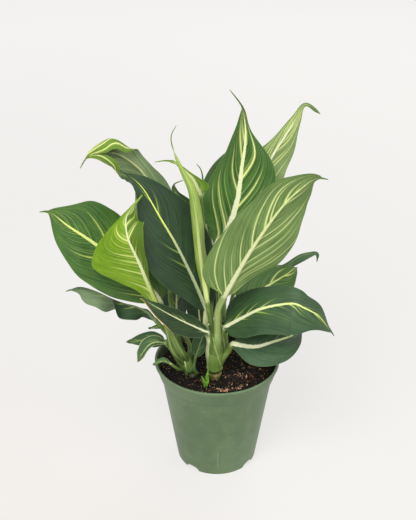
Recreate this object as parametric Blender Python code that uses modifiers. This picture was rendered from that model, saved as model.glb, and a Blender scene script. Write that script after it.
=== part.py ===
"""A potted dieffenbachia: a tapered nursery pot, soil, three canes and their leaves.

Metres, +Z up, the front towards -Y. The base of the pot stands on z = 0 and its axis is
the Z axis. Each leaf is one closed solid: a round stalk that opens into a thin blade.
"""

import math

import bmesh
import bpy
import numpy as np

MM = 0.001

# ---------------------------------------------------------------- driving dimensions, mm
POT_HEIGHT = 142.0
POT_RIM_RADIUS = 76.0
POT_BASE_RADIUS = 48.5
POT_WALL = 2.0
POT_FLOOR = 3.0
BAND_HEIGHT = 20.0  # the rim band, which stands proud of the wall
BAND_STEP = 2.0
BAND_FOOT_RADIUS = 70.0
POT_SIDES = 48
NOTCH_COUNT = 4
NOTCH_WIDTH = 18.0
NOTCH_HEIGHT = 6.5
NOTCH_SHOULDER = 2.0  # the straight part of its sides
NOTCH_TURN = -38.0  # degrees, how far one notch stands from the front
NOTCH_INNER_RADIUS = 40.0

SOIL_LEVEL = 130.0
GAP = 0.3  # between neighbours that touch in the real plant
SOIL_SIDES = 32
ROD_RESOLUTION = 2  # twelve sides round a cane

STALK_RADIUS = 3.0
RIB_THICKNESS = 1.0
EDGE_THICKNESS = 0.9
TAIL_HALF_WIDTH = 0.9
THINNEST_STEM = 0.6
HOLDER = "plant_holder"

# Each cane: points up its middle, then its radius at the foot and at the top.
CANES = {
    "cane_front": ([(-3, -24, 96), (-3, -26, 130), (-3, -30, 160), (-4, -33, 195)], 11.0, 6.6),
    "cane_left": ([(-24, -19, 96), (-29, -22, 130), (-37, -24, 150), (-44, -26, 166)], 7.0, 6.0),
    "cane_back": ([(8, 20, 96), (8, 22, 130), (6, 24, 170), (4, 28, 220)], 7.0, 6.0),
}
SHOOT = ([(-15, -47, 110), (-14, -46, 130), (-12, -43, 141), (-10, -40, 152)], 2.2, 0.9)

LEAVES = {}


def leaf(name, foot, stalk, rib, half, face, fold=(15, 12, 8), roll=(0, 0, 0), tail=0.95,
         radius=STALK_RADIUS, rows=2):
    """One leaf of the table.

    foot is its cane, the height and the side it grows from in degrees anticlockwise from
    +X, or only the cane for a leaf that stands on its top. stalk and rib are points from
    the foot to the tip. half holds the left and right half-widths at even stations,
    face the directions its upper side looks, fold and roll the turn of each half in
    degrees at the rib and the further turn out to the margin. tail is the share of the
    rib that carries blade, before the thin drip tip.
    """
    LEAVES[name] = {
        "foot": foot, "stalk": stalk, "rib": rib, "half": half, "face": face,
        "fold": fold, "roll": roll, "tail": tail, "radius": radius, "rows": rows,
    }


# ------------------------------------------------------------------ leaves of the front cane
leaf("leaf_centre_dark", ("cane_front", 176, 190), [(-14, -32, 205)],
     [(-13, -29, 227), (-29, -34, 273), (-46, -39, 316), (-63, -42, 351), (-79, -41, 382),
      (-93, -39, 396), (-106, -40, 403)],
     ((20, 36, 42, 31, 15), (26, 36, 38, 34, 20)), [(2, -8, 5), (2, -8, 5), (1, -7, 7)],
     {"left": (24, 18, 12), "right": (2, 2, 4)}, {"left": (-12, -8, -5), "right": (-8, -6, -5)})
leaf("leaf_front_right", ("cane_front", 164, 295), [(0, -43, 200), (0, -46, 235)],
     [(7, -48, 256), (29, -60, 309), (49, -68, 349), (68, -72, 380), (83, -72, 396),
      (97, -70, 406), (112, -66, 404)],
     ((20, 38, 40, 32, 22), (37, 37, 34, 29, 24)), [(0, 9, 1), (0, 9, 1), (0, 8, 4)],
     {"left": (14, 10, 8), "right": (2, 2, 4)}, tail=0.96, radius=3.6)
leaf("leaf_right_arching", ("cane_front", 170, 335), [(5, -37, 200)],
     [(8, -38, 209), (28, -48, 228), (49, -58, 246), (80, -66, 257), (95, -69, 253),
      (112, -70, 242), (130, -66, 215)],
     ((34, 31, 29, 20, 15), (23, 28, 33, 36, 18)), [(0, -5, 8), (0, -5, 8), (6, -4, 6)],
     (4, -2, -5), (-20, -20, -10))
leaf("leaf_right_low", ("cane_front", 144, 355), [(13, -32, 172)],
     [(17, -40, 188), (42, -50, 190), (65, -48, 196), (85, -38, 197), (101, -22, 196)],
     ((14, 24, 28, 25, 15), (14, 25, 29, 25, 14)), [(0, -6, 8), (0, -5, 8), (2, -4, 8)],
     (10, 8, 5))
leaf("leaf_new_rolled", ("cane_front",), [(-7, -37, 215)],
     [(-12, -45, 248), (-20, -47, 313), (-23, -47, 348), (-28, -45, 378), (-37, -41, 399),
      (-44, -37, 415), (-49, -32, 430), (-49, -29, 439), (-44, -26, 448)],
     ((14, 15, 15, 13, 7), (14, 15, 15, 13, 7)), [(0, 1, 0)],
     (40, 40, 40), (50, 50, 50), tail=0.86)
leaf("leaf_young_tip", ("cane_front", 176, 100), [(-8, -20, 230), (-14, -8, 300), (-17, -8, 335)],
     [(-19, -8, 362), (-27, -9, 380), (-36, -10, 391), (-47, -11, 401), (-57, -13, 404),
      (-68, -15, 403)],
     ((9, 6, 3, 2, 1), (12, 7, 3, 2, 1)), [(0, -10, 3)], (10, 10, 10), tail=0.75,
     radius=2.0, rows=1)
leaf("leaf_front_short", ("cane_front", 166, 245), [(-9, -43, 192)],
     [(-11, -44, 206), (-21, -49, 214), (-45, -71, 241), (-66, -89, 266), (-77, -94, 277),
      (-83, -96, 281)],
     ((12, 15, 16, 12, 8), (10, 11, 10, 8, 5)), [(0, -7, 7)], (0, 0, 0), (-20, -20, -20),
     radius=2.4)
# ------------------------------------------------------------------ leaves of the left cane
leaf("leaf_left_large", ("cane_left", 146, 262), [(-52, -38, 180), (-59, -35, 208)],
     [(-65, -29, 237), (-76, -31, 253), (-89, -33, 263), (-129, -40, 312), (-161, -45, 341),
      (-178, -48, 358), (-190, -49, 360)],
     ((19, 33, 39, 39, 24), (31, 37, 40, 41, 33)), [(1, -8, 7)], (15, 12, 8), (-10, -10, -10))
leaf("leaf_left_young", ("cane_left", 146, 305), [(-46, -48, 190), (-55, -60, 222)],
     [(-62, -68, 244), (-73, -77, 281), (-84, -81, 317), (-94, -81, 344), (-96, -73, 363),
      (-90, -62, 371), (-84, -54, 376), (-80, -50, 380)],
     ((7, 9, 16, 34, 49, 53, 43, 23, 5), (3, 3, 4, 5, 8, 11, 15, 17, 17)),
     [(-1, -8, 0), (-1, -8, 0), (-2, -8, 1), (-2, -6, 5)],
     {"left": (5, 0, 0, 0), "right": (30, 30, 10, -25, -30)},
     {"left": (-8, -10, -20), "right": (0, 0, 0)}, tail=0.9)
leaf("leaf_upper_left", ("cane_left", 152, 85), [(-48, -9, 180), (-54, 2, 212)],
     [(-56, 5, 234), (-61, 0, 277), (-66, -5, 320), (-71, -8, 352), (-75, -11, 376),
      (-82, -14, 391), (-90, -17, 401), (-99, -21, 410), (-109, -25, 417), (-120, -29, 419),
      (-130, -33, 419), (-138, -36, 416), (-145, -40, 406)],
     ((24, 30, 32, 31, 27, 19, 12, 17, 36), (26, 30, 30, 27, 22, 18, 20, 32, 31)),
     [(0, 8, 3), (0, 8, 3), (0, 8, 2), (0, 8, -4)],
     (15, 15, 15, 15, 12, 10, 10, 10, 20, 40, 40, 40),
     {"left": (0, 0, 0, 0, 0, 0, 0, 0, 0, -200, -260, -260),
      "right": (0, 0, 0, 0, 0, 0, 0, -30, -140, -230, -260, -260)}, rows=4)
leaf("leaf_left_low", ("cane_left",), [(-54, -26, 186)],
     [(-72, -30, 214), (-80, -33, 227), (-92, -36, 236), (-106, -39, 242), (-120, -42, 250),
      (-132, -44, 258), (-145, -46, 265), (-156, -47, 267), (-169, -50, 263)],
     ((13, 17, 18, 12, 5), (10, 15, 17, 16, 15)), [(0, -8, 6), (0, -2, 9), (0, 9, 4), (0, 9, 4)],
     {"left": (-40, -40, -50), "right": (-75, -60, -30)}, radius=2.6)
leaf("leaf_left_small", ("cane_left", 140, 150), [(-52, -9, 164)],
     [(-63, -8, 171), (-80, -10, 174), (-95, -12, 174), (-109, -14, 173)],
     ((8, 10, 9, 7, 4), (8, 10, 9, 7, 4)), [(0, -6, 8)], (10, 10, 10), radius=2.0, rows=1)
leaf("leaf_left_thread", ("cane_left", 152, 180), [(-54, -22, 172), (-58, -20, 187)],
     [(-60, -22, 196), (-66, -22, 199), (-73, -22, 199), (-81, -22, 197)],
     ((2, 2.5, 2.5, 2, 1), (2, 2.5, 2.5, 2, 1)), [(0, -6, 8)], (30, 30, 30), radius=1.4, rows=1)
leaf("leaf_left_arched", ("cane_left", 142, 200), [(-54, -32, 174)],
     [(-61, -36, 186), (-70, -40, 190), (-79, -44, 189), (-86, -46, 180), (-93, -46, 166)],
     ((3, 4, 4, 4, 4), (7, 9, 9, 8, 6)), [(0, -4, 8)], (10, 10, 10), radius=2.0, rows=1)
leaf("leaf_soil_narrow", ("cane_left", 137, 225), [(-46, -38, 151)],
     [(-55, -44, 163), (-64, -48, 169), (-75, -52, 166)],
     ((1, 1.5, 1.5, 1, 1), (3, 4, 4, 3, 2)), [(0, -4, 8)], (10, 10, 10), radius=1.6, rows=1)
leaf("leaf_inner_small", ("cane_left", 134, 330), [],
     [(-26, -18, 155), (-22, -12, 165), (-17, -6, 178), (-13, -2, 189)],
     ((7, 9, 9, 7, 4), (7, 9, 9, 7, 4)), [(0, -8, 2)], (10, 10, 10), radius=2.0, rows=1)
leaf("leaf_back_left", ("cane_left", 138, 35), [(-34, 4, 160)],
     [(-46, 14, 176), (-49, 18, 203), (-48, 20, 232), (-46, 22, 260), (-41, 22, 278)],
     ((12, 18, 18, 12, 6), (10, 13, 13, 10, 5)), [(0, -9, 2)], radius=2.4, rows=1)
# ------------------------------------------------------------------ leaves of the back cane
leaf("leaf_top_centre", ("cane_back",), [(1, 29, 250)],
     [(-3, 30, 281), (11, 34, 296), (23, 42, 333), (28, 50, 371), (32, 55, 405),
      (29, 58, 435), (25, 55, 446), (13, 50, 463)],
     ((33, 40, 34, 22, 14), (22, 34, 41, 33, 7)), [(0, -9, 2)], (15, 12, 8), (-10, -10, 0),
     tail=0.85)
leaf("leaf_upper_right", ("cane_back", 196, 35), [(20, 46, 250), (28, 57, 290)],
     [(39, 60, 324), (63, 75, 372), (79, 80, 398), (91, 83, 418), (101, 80, 436),
      (118, 74, 427)],
     ((26, 24, 21, 11, 2.5), (17, 20, 11, 7, 3)), [(1, 9, 0)], tail=0.97)
leaf("leaf_back_rounded", ("cane_back", 192, 110), [(-2, 55, 232)],
     [(-5, 70, 254), (-1, 76, 305), (5, 78, 344), (13, 78, 372), (22, 74, 388)],
     ((18, 24, 24, 20, 13), (18, 24, 24, 18, 9)), [(0, -9, 2)])
leaf("leaf_back_slender", ("cane_back", 196, 165), [(-9, 36, 240)],
     [(-13, 45, 293), (-16, 45, 326), (-17, 42, 359), (-19, 40, 372), (-24, 38, 380)],
     ((5, 7, 6, 4, 1.5), (6, 8, 7, 5, 2)), [(0, -9, 2)], tail=0.7, radius=2.0, rows=1)
leaf("leaf_right_back", ("cane_back", 164, 310), [(17, 8, 200)],
     [(22, 3, 221), (38, 19, 225), (53, 31, 232), (68, 41, 237), (84, 49, 242),
      (101, 55, 252), (115, 57, 256), (122, 55, 256), (122, 53, 246)],
     ((5, 6, 5, 3, 2), (7, 11, 9, 6, 8)), [(0, -5, 8)], radius=2.4, rows=1)
leaf("leaf_right_behind", ("cane_back", 156, 345), [(28, 4, 198)],
     [(31, -8, 215), (42, 0, 226), (55, 10, 233), (64, 16, 236), (81, 26, 242), (91, 32, 246),
      (97, 40, 245)],
     ((22, 25, 21, 17, 11), (12, 18, 24, 23, 15)), [(0, -6, 7)], radius=2.4)
leaf("leaf_behind_stem", ("cane_back", 146, 215), [(-15, 14, 166)],
     [(-20, 14, 174), (-22, 14, 200), (-24, 13, 228), (-26, 12, 257)],
     ((11, 14, 14, 10, 5), (12, 15, 15, 12, 6)), [(0, -9, 2)], radius=2.4, rows=1)


leaf("leaf_rear_left", ("cane_back", 170, 155), [(-12, 40, 215)],
     [(-20, 54, 240), (-33, 58, 280), (-43, 48, 325), (-49, 30, 350), (-49, 20, 362),
      (-39, 16, 369)],
     ((12, 20, 20, 13, 5), (12, 20, 20, 13, 5)), [(0, 9, 3)], tail=0.88, radius=2.4)
leaf("leaf_rear_low", ("cane_back", 156, 55), [(18, 48, 192)],
     [(22, 56, 205), (45, 75, 222), (70, 88, 222), (92, 94, 205)],
     ((14, 22, 24, 20, 12), (14, 22, 24, 20, 12)), [(0, 3, 9)], radius=2.4)
leaf("leaf_rear_back", ("cane_back", 152, 110), [(-8, 48, 192)],
     [(-15, 55, 208), (-35, 76, 228), (-55, 90, 232), (-74, 95, 216)],
     ((13, 21, 23, 19, 11), (13, 21, 23, 19, 11)), [(0, 3, 9)], radius=2.4)


# --------------------------------------------------------------------------- small helpers
def unit(vectors):
    vectors = np.asarray(vectors, float)
    return vectors / np.linalg.norm(vectors, axis=-1, keepdims=True)


def smooth_path(points, count):
    """Even points along a smooth curve through the given ones."""
    path = np.array(points, float)
    path = np.vstack([2 * path[0] - path[1], path, 2 * path[-1] - path[-2]])
    fine = []
    for before, start, end, after in zip(path, path[1:], path[2:], path[3:]):
        for t in np.linspace(0, 1, 30, endpoint=False):
            fine.append(0.5 * (2 * start + (end - before) * t
                               + (2 * before - 5 * start + 4 * end - after) * t * t
                               + (3 * start - before - 3 * end + after) * t ** 3))
    fine = np.array(fine + [path[-2]])
    run = np.concatenate([[0], np.cumsum(np.linalg.norm(np.diff(fine, axis=0), axis=1))])
    even = np.linspace(0, run[-1], count)
    return np.stack([np.interp(even, run, fine[:, k]) for k in range(3)], axis=1)


def keyed(keys, s):
    """Evenly spaced keys along the blade, eased between one and the next."""
    keys = np.asarray(keys, float)
    if len(keys) == 1:
        return np.repeat(keys, len(s), axis=0)
    place = np.clip(s, 0, 1) * (len(keys) - 1)
    index = np.minimum(place.astype(int), len(keys) - 2)
    part = place - index
    part = part * part * (3 - 2 * part)
    if keys.ndim > 1:
        part = part[:, None]
    return keys[index] * (1 - part) + keys[index + 1] * part


def half_width(widths, s, tail):
    """The half-width through the stations: round at the base, pointed at the tip."""
    count = len(widths)
    at = np.sqrt(np.concatenate([[0], (np.arange(count) + 1) / (count + 1), [1]]))
    value = np.concatenate([[0], widths, [0]]).astype(float)
    slope = np.gradient(value, at)
    slope[0] = value[1] / at[1] * 1.15
    slope[-1] = (value[-1] - value[-2]) / (at[-1] - at[-2])
    q = np.sqrt(np.clip(s / tail, 0, 1))
    i = np.clip(np.searchsorted(at, q, side="right") - 1, 0, count)
    span = at[i + 1] - at[i]
    t = (q - at[i]) / span
    rise = (t ** 3 - 2 * t ** 2 + t) * slope[i] + (t ** 3 - t ** 2) * slope[i + 1]
    level = (2 * t ** 3 - 3 * t ** 2 + 1) * value[i] + (3 * t ** 2 - 2 * t ** 3) * value[i + 1]
    return np.maximum(level + rise * span, 0)


def rib_frame(rib, face, s):
    """The middle, the direction to the tip, the upper side and the right of the blade."""
    line = smooth_path(rib, 400)
    run = np.linspace(0, 1, 400)
    middle = np.stack([np.interp(s, run, line[:, k]) for k in range(3)], axis=1)
    slope = np.gradient(line, axis=0)
    along = unit(np.stack([np.interp(s, run, slope[:, k]) for k in range(3)], axis=1))
    up = keyed(face, s)
    up = unit(up - (up * along).sum(axis=1, keepdims=True) * along)
    return middle, along, up, np.cross(along, up)


def side_keys(keys, side):
    return keys[side] if isinstance(keys, dict) else keys


def blade_row(shape, s, rows):
    """Surface points from the left margin to the right one, and the normal at each."""
    middle, along, up, right = rib_frame(shape["rib"], shape["face"], s)
    steps = 24
    t = np.linspace(0, 1, rows + 1)
    fine = np.linspace(0, 1, steps + 1)
    points, normals = [], []
    for number, side, sign in ((0, "left", -1), (1, "right", 1)):
        width = half_width(shape["half"][number], s, shape["tail"])
        width = width + TAIL_HALF_WIDTH * np.sqrt(1 - s * 0.9)
        fold = np.radians(keyed(side_keys(shape["fold"], side), s))
        roll = np.radians(keyed(side_keys(shape["roll"], side), s))
        angle = fold[:, None] + roll[:, None] * fine
        out = np.cumsum((np.cos(angle)[:, 1:] + np.cos(angle)[:, :-1]) / 2 / steps, axis=1)
        lift = np.cumsum((np.sin(angle)[:, 1:] + np.sin(angle)[:, :-1]) / 2 / steps, axis=1)
        out = np.concatenate([np.zeros((len(s), 1)), out], axis=1) * width[:, None]
        lift = np.concatenate([np.zeros((len(s), 1)), lift], axis=1) * width[:, None]
        out = np.stack([np.interp(t, fine, row) for row in out])
        lift = np.stack([np.interp(t, fine, row) for row in lift])
        turn = fold[:, None] + roll[:, None] * t
        points.append(middle[:, None] + sign * out[..., None] * right[:, None]
                      + lift[..., None] * up[:, None])
        normals.append(np.cos(turn)[..., None] * up[:, None]
                       - sign * np.sin(turn)[..., None] * right[:, None])
    both = np.concatenate([points[0][:, ::-1], points[1][:, 1:]], axis=1)
    normal = np.concatenate([normals[0][:, ::-1], normals[1][:, 1:]], axis=1)
    return both, unit(normal), middle, up, right


def ring(centre, up, right, radius, count):
    """Points around a round section, in the order of a blade's ring."""
    angle = math.pi - math.pi / count - np.arange(count) * 2 * math.pi / count
    return (centre + radius * np.cos(angle)[:, None] * right
            + radius * np.sin(angle)[:, None] * up)


def carried_frames(points, first_up, first_right):
    """Frames along a path that turn with it and don't twist, starting from the first."""
    along = unit(np.gradient(points, axis=0))
    frames = []
    up, right = first_up, first_right
    for direction in along:
        up = unit(up - np.dot(up, direction) * direction)
        right = unit(right - np.dot(right, direction) * direction
                     - np.dot(right, up) * up)
        frames.append((up, right))
    return frames


def cane_at(name, height):
    """The middle, direction and radius of a cane at a height."""
    points, foot_radius, top_radius = CANES[name]
    line = smooth_path(points, 200)
    slope = unit(np.gradient(line, axis=0))
    index = int(np.argmin(abs(line[:, 2] - height)))
    share = index / (len(line) - 1)
    return line[index], slope[index], foot_radius + (top_radius - foot_radius) * share


def stalk_line(shape):
    """The stalk's middle: seated beside its cane or on its top, then up to the blade."""
    foot, radius = shape["foot"], shape["radius"]
    if len(foot) == 1:
        top, direction, _ = cane_at(foot[0], 1000)
        start = [top + direction * GAP * 2, top + direction * 6]
    else:
        name, height, side = foot
        outward = np.array([math.cos(math.radians(side)), math.sin(math.radians(side)), 0])
        start = []
        for z in (height, height + 9):
            middle, direction, cane_radius = cane_at(name, z)
            sideways = unit(outward - np.dot(outward, direction) * direction)
            start.append(middle + sideways * (cane_radius + radius + GAP))
    return np.array(list(start) + [np.array(p, float) for p in shape["stalk"]]
                    + [np.array(shape["rib"][0], float)])


# ------------------------------------------------------------------------------ the solids
def clear_scene():
    for thing in list(bpy.data.objects):
        bpy.data.objects.remove(thing, do_unlink=True)
    for group in list(bpy.data.collections):
        bpy.data.collections.remove(group)


def new_collection(name):
    group = bpy.data.collections.new(name)
    bpy.context.scene.collection.children.link(group)
    return group


def new_material(name, colour, roughness):
    material = bpy.data.materials.new(name)
    material.use_nodes = True
    shader = material.node_tree.nodes["Principled BSDF"]
    shader.inputs["Base Color"].default_value = (*colour, 1)
    shader.inputs["Roughness"].default_value = roughness
    shader.inputs["Metallic"].default_value = 0
    return material


def placed(name, data, group, location=(0, 0, 0), material=None):
    """A new object in a collection, held by the plant's empty, at a place in millimetres."""
    thing = bpy.data.objects.new(name, data)
    group.objects.link(thing)
    thing.location = [value * MM for value in location]
    thing.parent = bpy.data.objects.get(HOLDER)
    if material:
        data.materials.append(material)
    return thing


def turned(name, profile, sides, group, material):
    """A profile of radius and height, down its outer side, screwed about the Z axis."""
    mesh = bpy.data.meshes.new(name)
    points = [(radius * MM, 0, height * MM) for radius, height in profile]
    mesh.from_pydata(points, [(k, k + 1) for k in range(len(points) - 1)], [])
    thing = placed(name, mesh, group, material=material)
    screw = thing.modifiers.new("turn", "SCREW")
    screw.axis = "Z"
    screw.steps = sides
    screw.render_steps = sides
    screw.use_merge_vertices = True
    screw.merge_threshold = 0.00001
    screw.use_smooth_shade = True
    return thing


def cut(thing, cutters):
    for cutter in cutters:
        change = thing.modifiers.new("cut " + cutter.name, "BOOLEAN")
        change.operation = "DIFFERENCE"
        change.solver = "EXACT"
        change.object = cutter
        cutter.hide_render = True
        cutter.display_type = "WIRE"


def rod(name, points, foot_radius, top_radius, group, material=None, steps=6):
    """A tapered rod along a smooth path: a curve with a round bevel and filled caps."""
    curve = bpy.data.curves.new(name, "CURVE")
    curve.dimensions = "3D"
    curve.bevel_depth = MM
    curve.bevel_resolution = ROD_RESOLUTION
    curve.use_fill_caps = True
    spline = curve.splines.new("POLY")
    line = smooth_path(points, steps)
    spline.points.add(steps - 1)
    for k, (point, place) in enumerate(zip(spline.points, line)):
        point.co = (*((place - line[0]) * MM), 1)
        point.radius = foot_radius + (top_radius - foot_radius) * k / (steps - 1)
    return placed(name, curve, group, line[0], material)


def meshed(thing, group):
    """A curve object made a closed mesh object, so that it can cut."""
    bpy.context.view_layer.update()
    graph = bpy.context.evaluated_depsgraph_get()
    mesh = bpy.data.meshes.new_from_object(thing.evaluated_get(graph))
    shape = bmesh.new()
    shape.from_mesh(mesh)
    bmesh.ops.remove_doubles(shape, verts=shape.verts, dist=0.000001)
    shape.to_mesh(mesh)
    shape.free()
    solid = bpy.data.objects.new("cutter_" + thing.name, mesh)
    group.objects.link(solid)
    solid.matrix_world = thing.matrix_world
    bpy.data.objects.remove(thing, do_unlink=True)
    return solid


def notch_cutters(number, group):
    """One drainage notch through the bottom edge of the pot: a block with a round top."""
    turn = -90 + NOTCH_TURN + number * 360 / NOTCH_COUNT
    length = POT_BASE_RADIUS + 12 - NOTCH_INNER_RADIUS
    reach = NOTCH_INNER_RADIUS + length / 2
    radius = NOTCH_WIDTH / 2
    rise = NOTCH_HEIGHT - NOTCH_SHOULDER
    block = bmesh.new()
    bmesh.ops.create_cube(block, size=MM)
    bmesh.ops.scale(block, verts=block.verts, vec=(length, NOTCH_WIDTH, 2 * NOTCH_SHOULDER))
    arch = bmesh.new()
    bmesh.ops.create_cone(arch, cap_ends=True, segments=16, radius1=radius * MM,
                          radius2=radius * MM, depth=(length + 0.5) * MM)
    bmesh.ops.scale(arch, verts=arch.verts, vec=(rise / radius, 1, 1))
    made = []
    for kind, shape, tip in (("block", block, 0), ("arch", arch, math.radians(90))):
        mesh = bpy.data.meshes.new(f"notch_{kind}_{number}")
        shape.to_mesh(mesh)
        shape.free()
        angle = math.radians(turn)
        height = 0 if kind == "block" else NOTCH_SHOULDER
        place = (reach * math.cos(angle), reach * math.sin(angle), height)
        cutter = placed(mesh.name, mesh, group, place)
        cutter.rotation_euler = (0, tip, angle)
        made.append(cutter)
    return made


def pot_inner_profile():
    """The inside of the pot from its floor up to its rim: radius and height."""
    step = POT_HEIGHT - BAND_HEIGHT
    return [
        (POT_BASE_RADIUS - POT_WALL + 0.8, POT_FLOOR),
        (BAND_FOOT_RADIUS - BAND_STEP - POT_WALL, step - 1),
        (BAND_FOOT_RADIUS - POT_WALL, step + 2),
        (POT_RIM_RADIUS - POT_WALL - 1.6, POT_HEIGHT - 4),
    ]


def build_pot(parts, cutters):
    step = POT_HEIGHT - BAND_HEIGHT
    outside = [
        (POT_RIM_RADIUS - POT_WALL - 0.6, POT_HEIGHT - 0.6), (POT_RIM_RADIUS - 0.8, POT_HEIGHT),
        (POT_RIM_RADIUS, POT_HEIGHT - 1), (POT_RIM_RADIUS, POT_HEIGHT - 3),
        (POT_RIM_RADIUS - 1, POT_HEIGHT - 4), (BAND_FOOT_RADIUS, step),
        (BAND_FOOT_RADIUS - BAND_STEP, step - 0.4), (POT_BASE_RADIUS + 0.9, 1.2),
        (POT_BASE_RADIUS, 0), (0, 0),
    ]
    profile = [(0, POT_FLOOR)] + pot_inner_profile() + outside
    material = new_material("pot plastic", (0.135, 0.223, 0.127), 0.38)
    pot = turned("pot", profile, POT_SIDES, parts, material)
    for number in range(NOTCH_COUNT):
        cut(pot, notch_cutters(number, cutters))
    return pot


def room_inside(height):
    """The greatest soil radius at a height that clears the flats of the pot's wall."""
    profile = pot_inner_profile()
    radius = np.interp(height, [h for _, h in profile], [r for r, _ in profile])
    return float(radius) * math.cos(math.pi / POT_SIDES) - GAP


def build_soil(parts, cutters):
    step = POT_HEIGHT - BAND_HEIGHT
    floor = POT_FLOOR + GAP
    profile = [
        (0, SOIL_LEVEL + 1), (25, SOIL_LEVEL), (52, SOIL_LEVEL + 1.5),
        (room_inside(SOIL_LEVEL) - 3, SOIL_LEVEL), (room_inside(SOIL_LEVEL - 3), SOIL_LEVEL - 3),
        (room_inside(step - 1), step - 1), (room_inside(floor), floor), (0, floor),
    ]
    soil = turned("soil", profile, SOIL_SIDES, parts, new_material("soil", (0.035, 0.022, 0.014), 0.95))
    for name, (points, foot_radius, top_radius) in [*CANES.items(), ("shoot_bright", SHOOT)]:
        sink = np.array(points[0]) + (np.array(points[0]) - points[1]) * GAP / 15
        socket = rod(name + "_socket", [sink, *points[1:]], foot_radius + GAP,
                     top_radius + GAP, cutters)
        cut(soil, [meshed(socket, cutters)])
    return soil


def build_canes(parts):
    for name, (points, foot_radius, top_radius) in CANES.items():
        material = new_material(name.replace("_", " "), (0.25, 0.36, 0.12), 0.45)
        rod(name, points, foot_radius, top_radius, parts, material)
    points, foot_radius, top_radius = SHOOT
    material = new_material("shoot green", (0.30, 0.48, 0.08), 0.4)
    rod("shoot_bright", points, foot_radius, top_radius, parts, material)


def lofted(name, rings, group, material):
    """A closed solid through rings of equal size, with its origin in the first ring.

    The quads of the lower side are split the same way as those above them, so that a
    thin blade keeps its thickness where it twists.
    """
    count = len(rings[0])
    foot = rings[0].mean(axis=0)
    points = (np.concatenate(rings) - foot) * MM
    last = (len(rings) - 1) * count
    faces = [tuple(range(count - 1, -1, -1)), tuple(range(last, last + count))]
    for row in range(0, last, count):
        for j in range(count):
            k = (j + 1) % count
            a, b, c, d = row + j, row + k, row + k + count, row + j + count
            if j < count // 2:
                faces += [(a, b, c), (a, c, d)]
            else:
                faces += [(a, b, d), (b, c, d)]
    mesh = bpy.data.meshes.new(name)
    mesh.from_pydata([tuple(p) for p in points], [], faces)
    mesh.shade_smooth()
    return placed(name, mesh, group, foot, material)


def build_leaf(name, shape, parts):
    rows, tail, radius = shape["rows"], shape["tail"], shape["radius"]
    count = 4 * rows + 2
    share = np.array([0, 0.015, 0.05, 0.11, 0.2, 0.31, 0.43, 0.55, 0.67, 0.79, 0.9, 1.0])
    s = np.concatenate([share * tail, [(1 + tail) / 2, 1.0]])
    surface, normal, middle, up, right = blade_row(shape, s, rows)
    columns = np.abs(np.linspace(-1, 1, 2 * rows + 1))
    thick = RIB_THICKNESS + (EDGE_THICKNESS - RIB_THICKNESS) * columns
    stem = radius * np.clip(1 - s / tail, 0, 1) ** 0.7
    top = surface + normal * thick[:, None] / 2
    bottom = surface - normal * thick[:, None] / 2
    bottom[:, rows] -= up * (stem * 1.1)[:, None]
    opened = np.clip(s / (0.07 * tail), 0, 1)
    opened = (opened * opened * (3 - 2 * opened))[:, None]
    blade = []
    for k in range(len(s)):
        flat = np.concatenate([top[k], bottom[k][::-1]])
        start = ring(middle[k], up[k], right[k], max(stem[k], THINNEST_STEM), count)
        blade.append(start * (1 - opened[k]) + flat * opened[k])
    path = stalk_line(shape)
    length = float(np.linalg.norm(np.diff(path, axis=0), axis=1).sum())
    steps = max(4, min(8, int(length / 16)))
    line = smooth_path(path, steps + 1)
    frames = carried_frames(line[::-1], up[0], right[0])[::-1]
    stalk = [ring(line[k], *frames[k], radius, count) for k in range(steps)]
    material = new_material(name.replace("_", " "), (0.07, 0.16, 0.045), 0.4)
    return lofted(name, stalk + blade, parts, material)


def build_plant():
    clear_scene()
    parts = new_collection("potted_dieffenbachia")
    cutters = new_collection("cutters")
    holder = bpy.data.objects.new(HOLDER, None)
    parts.objects.link(holder)
    build_pot(parts, cutters)
    build_soil(parts, cutters)
    build_canes(parts)
    for name, shape in LEAVES.items():
        build_leaf(name, shape, parts)


build_plant()
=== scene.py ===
"""A potted dieffenbachia: its looks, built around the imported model.

Metres, +Z up, the front towards -Y. Tables are in millimetres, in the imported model's own
frame. Every leaf is one mesh: a sheathed stalk that opens into a thin veined blade.
"""

import math

import bmesh
import bpy
import numpy as np
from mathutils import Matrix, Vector, noise


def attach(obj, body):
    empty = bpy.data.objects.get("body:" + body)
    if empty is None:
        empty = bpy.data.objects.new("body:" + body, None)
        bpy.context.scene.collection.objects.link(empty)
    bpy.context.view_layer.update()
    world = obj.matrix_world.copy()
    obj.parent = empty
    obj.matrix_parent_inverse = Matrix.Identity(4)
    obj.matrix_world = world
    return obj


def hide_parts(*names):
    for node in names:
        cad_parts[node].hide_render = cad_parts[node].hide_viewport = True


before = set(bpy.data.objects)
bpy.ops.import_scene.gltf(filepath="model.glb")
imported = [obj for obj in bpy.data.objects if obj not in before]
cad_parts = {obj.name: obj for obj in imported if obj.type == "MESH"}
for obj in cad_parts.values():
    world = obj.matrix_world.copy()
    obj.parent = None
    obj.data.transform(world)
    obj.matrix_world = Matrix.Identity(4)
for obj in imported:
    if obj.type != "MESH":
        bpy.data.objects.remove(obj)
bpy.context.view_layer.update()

MM = 0.001
BODY = "root"

# -------------------------------------------------------------- sizes of the pot and soil, mm
POT_HEIGHT = 142.0
POT_RIM_RADIUS = 76.0
POT_BASE_RADIUS = 48.5
POT_WALL = 2.0
POT_FLOOR = 9.0
POT_BASE_RISE = 7.0  # the floor's underside stands this far above the foot of the wall
BAND_STEP = 2.0
BAND_FOOT = POT_HEIGHT - 20.0
BAND_FOOT_RADIUS = 70.0
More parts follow.
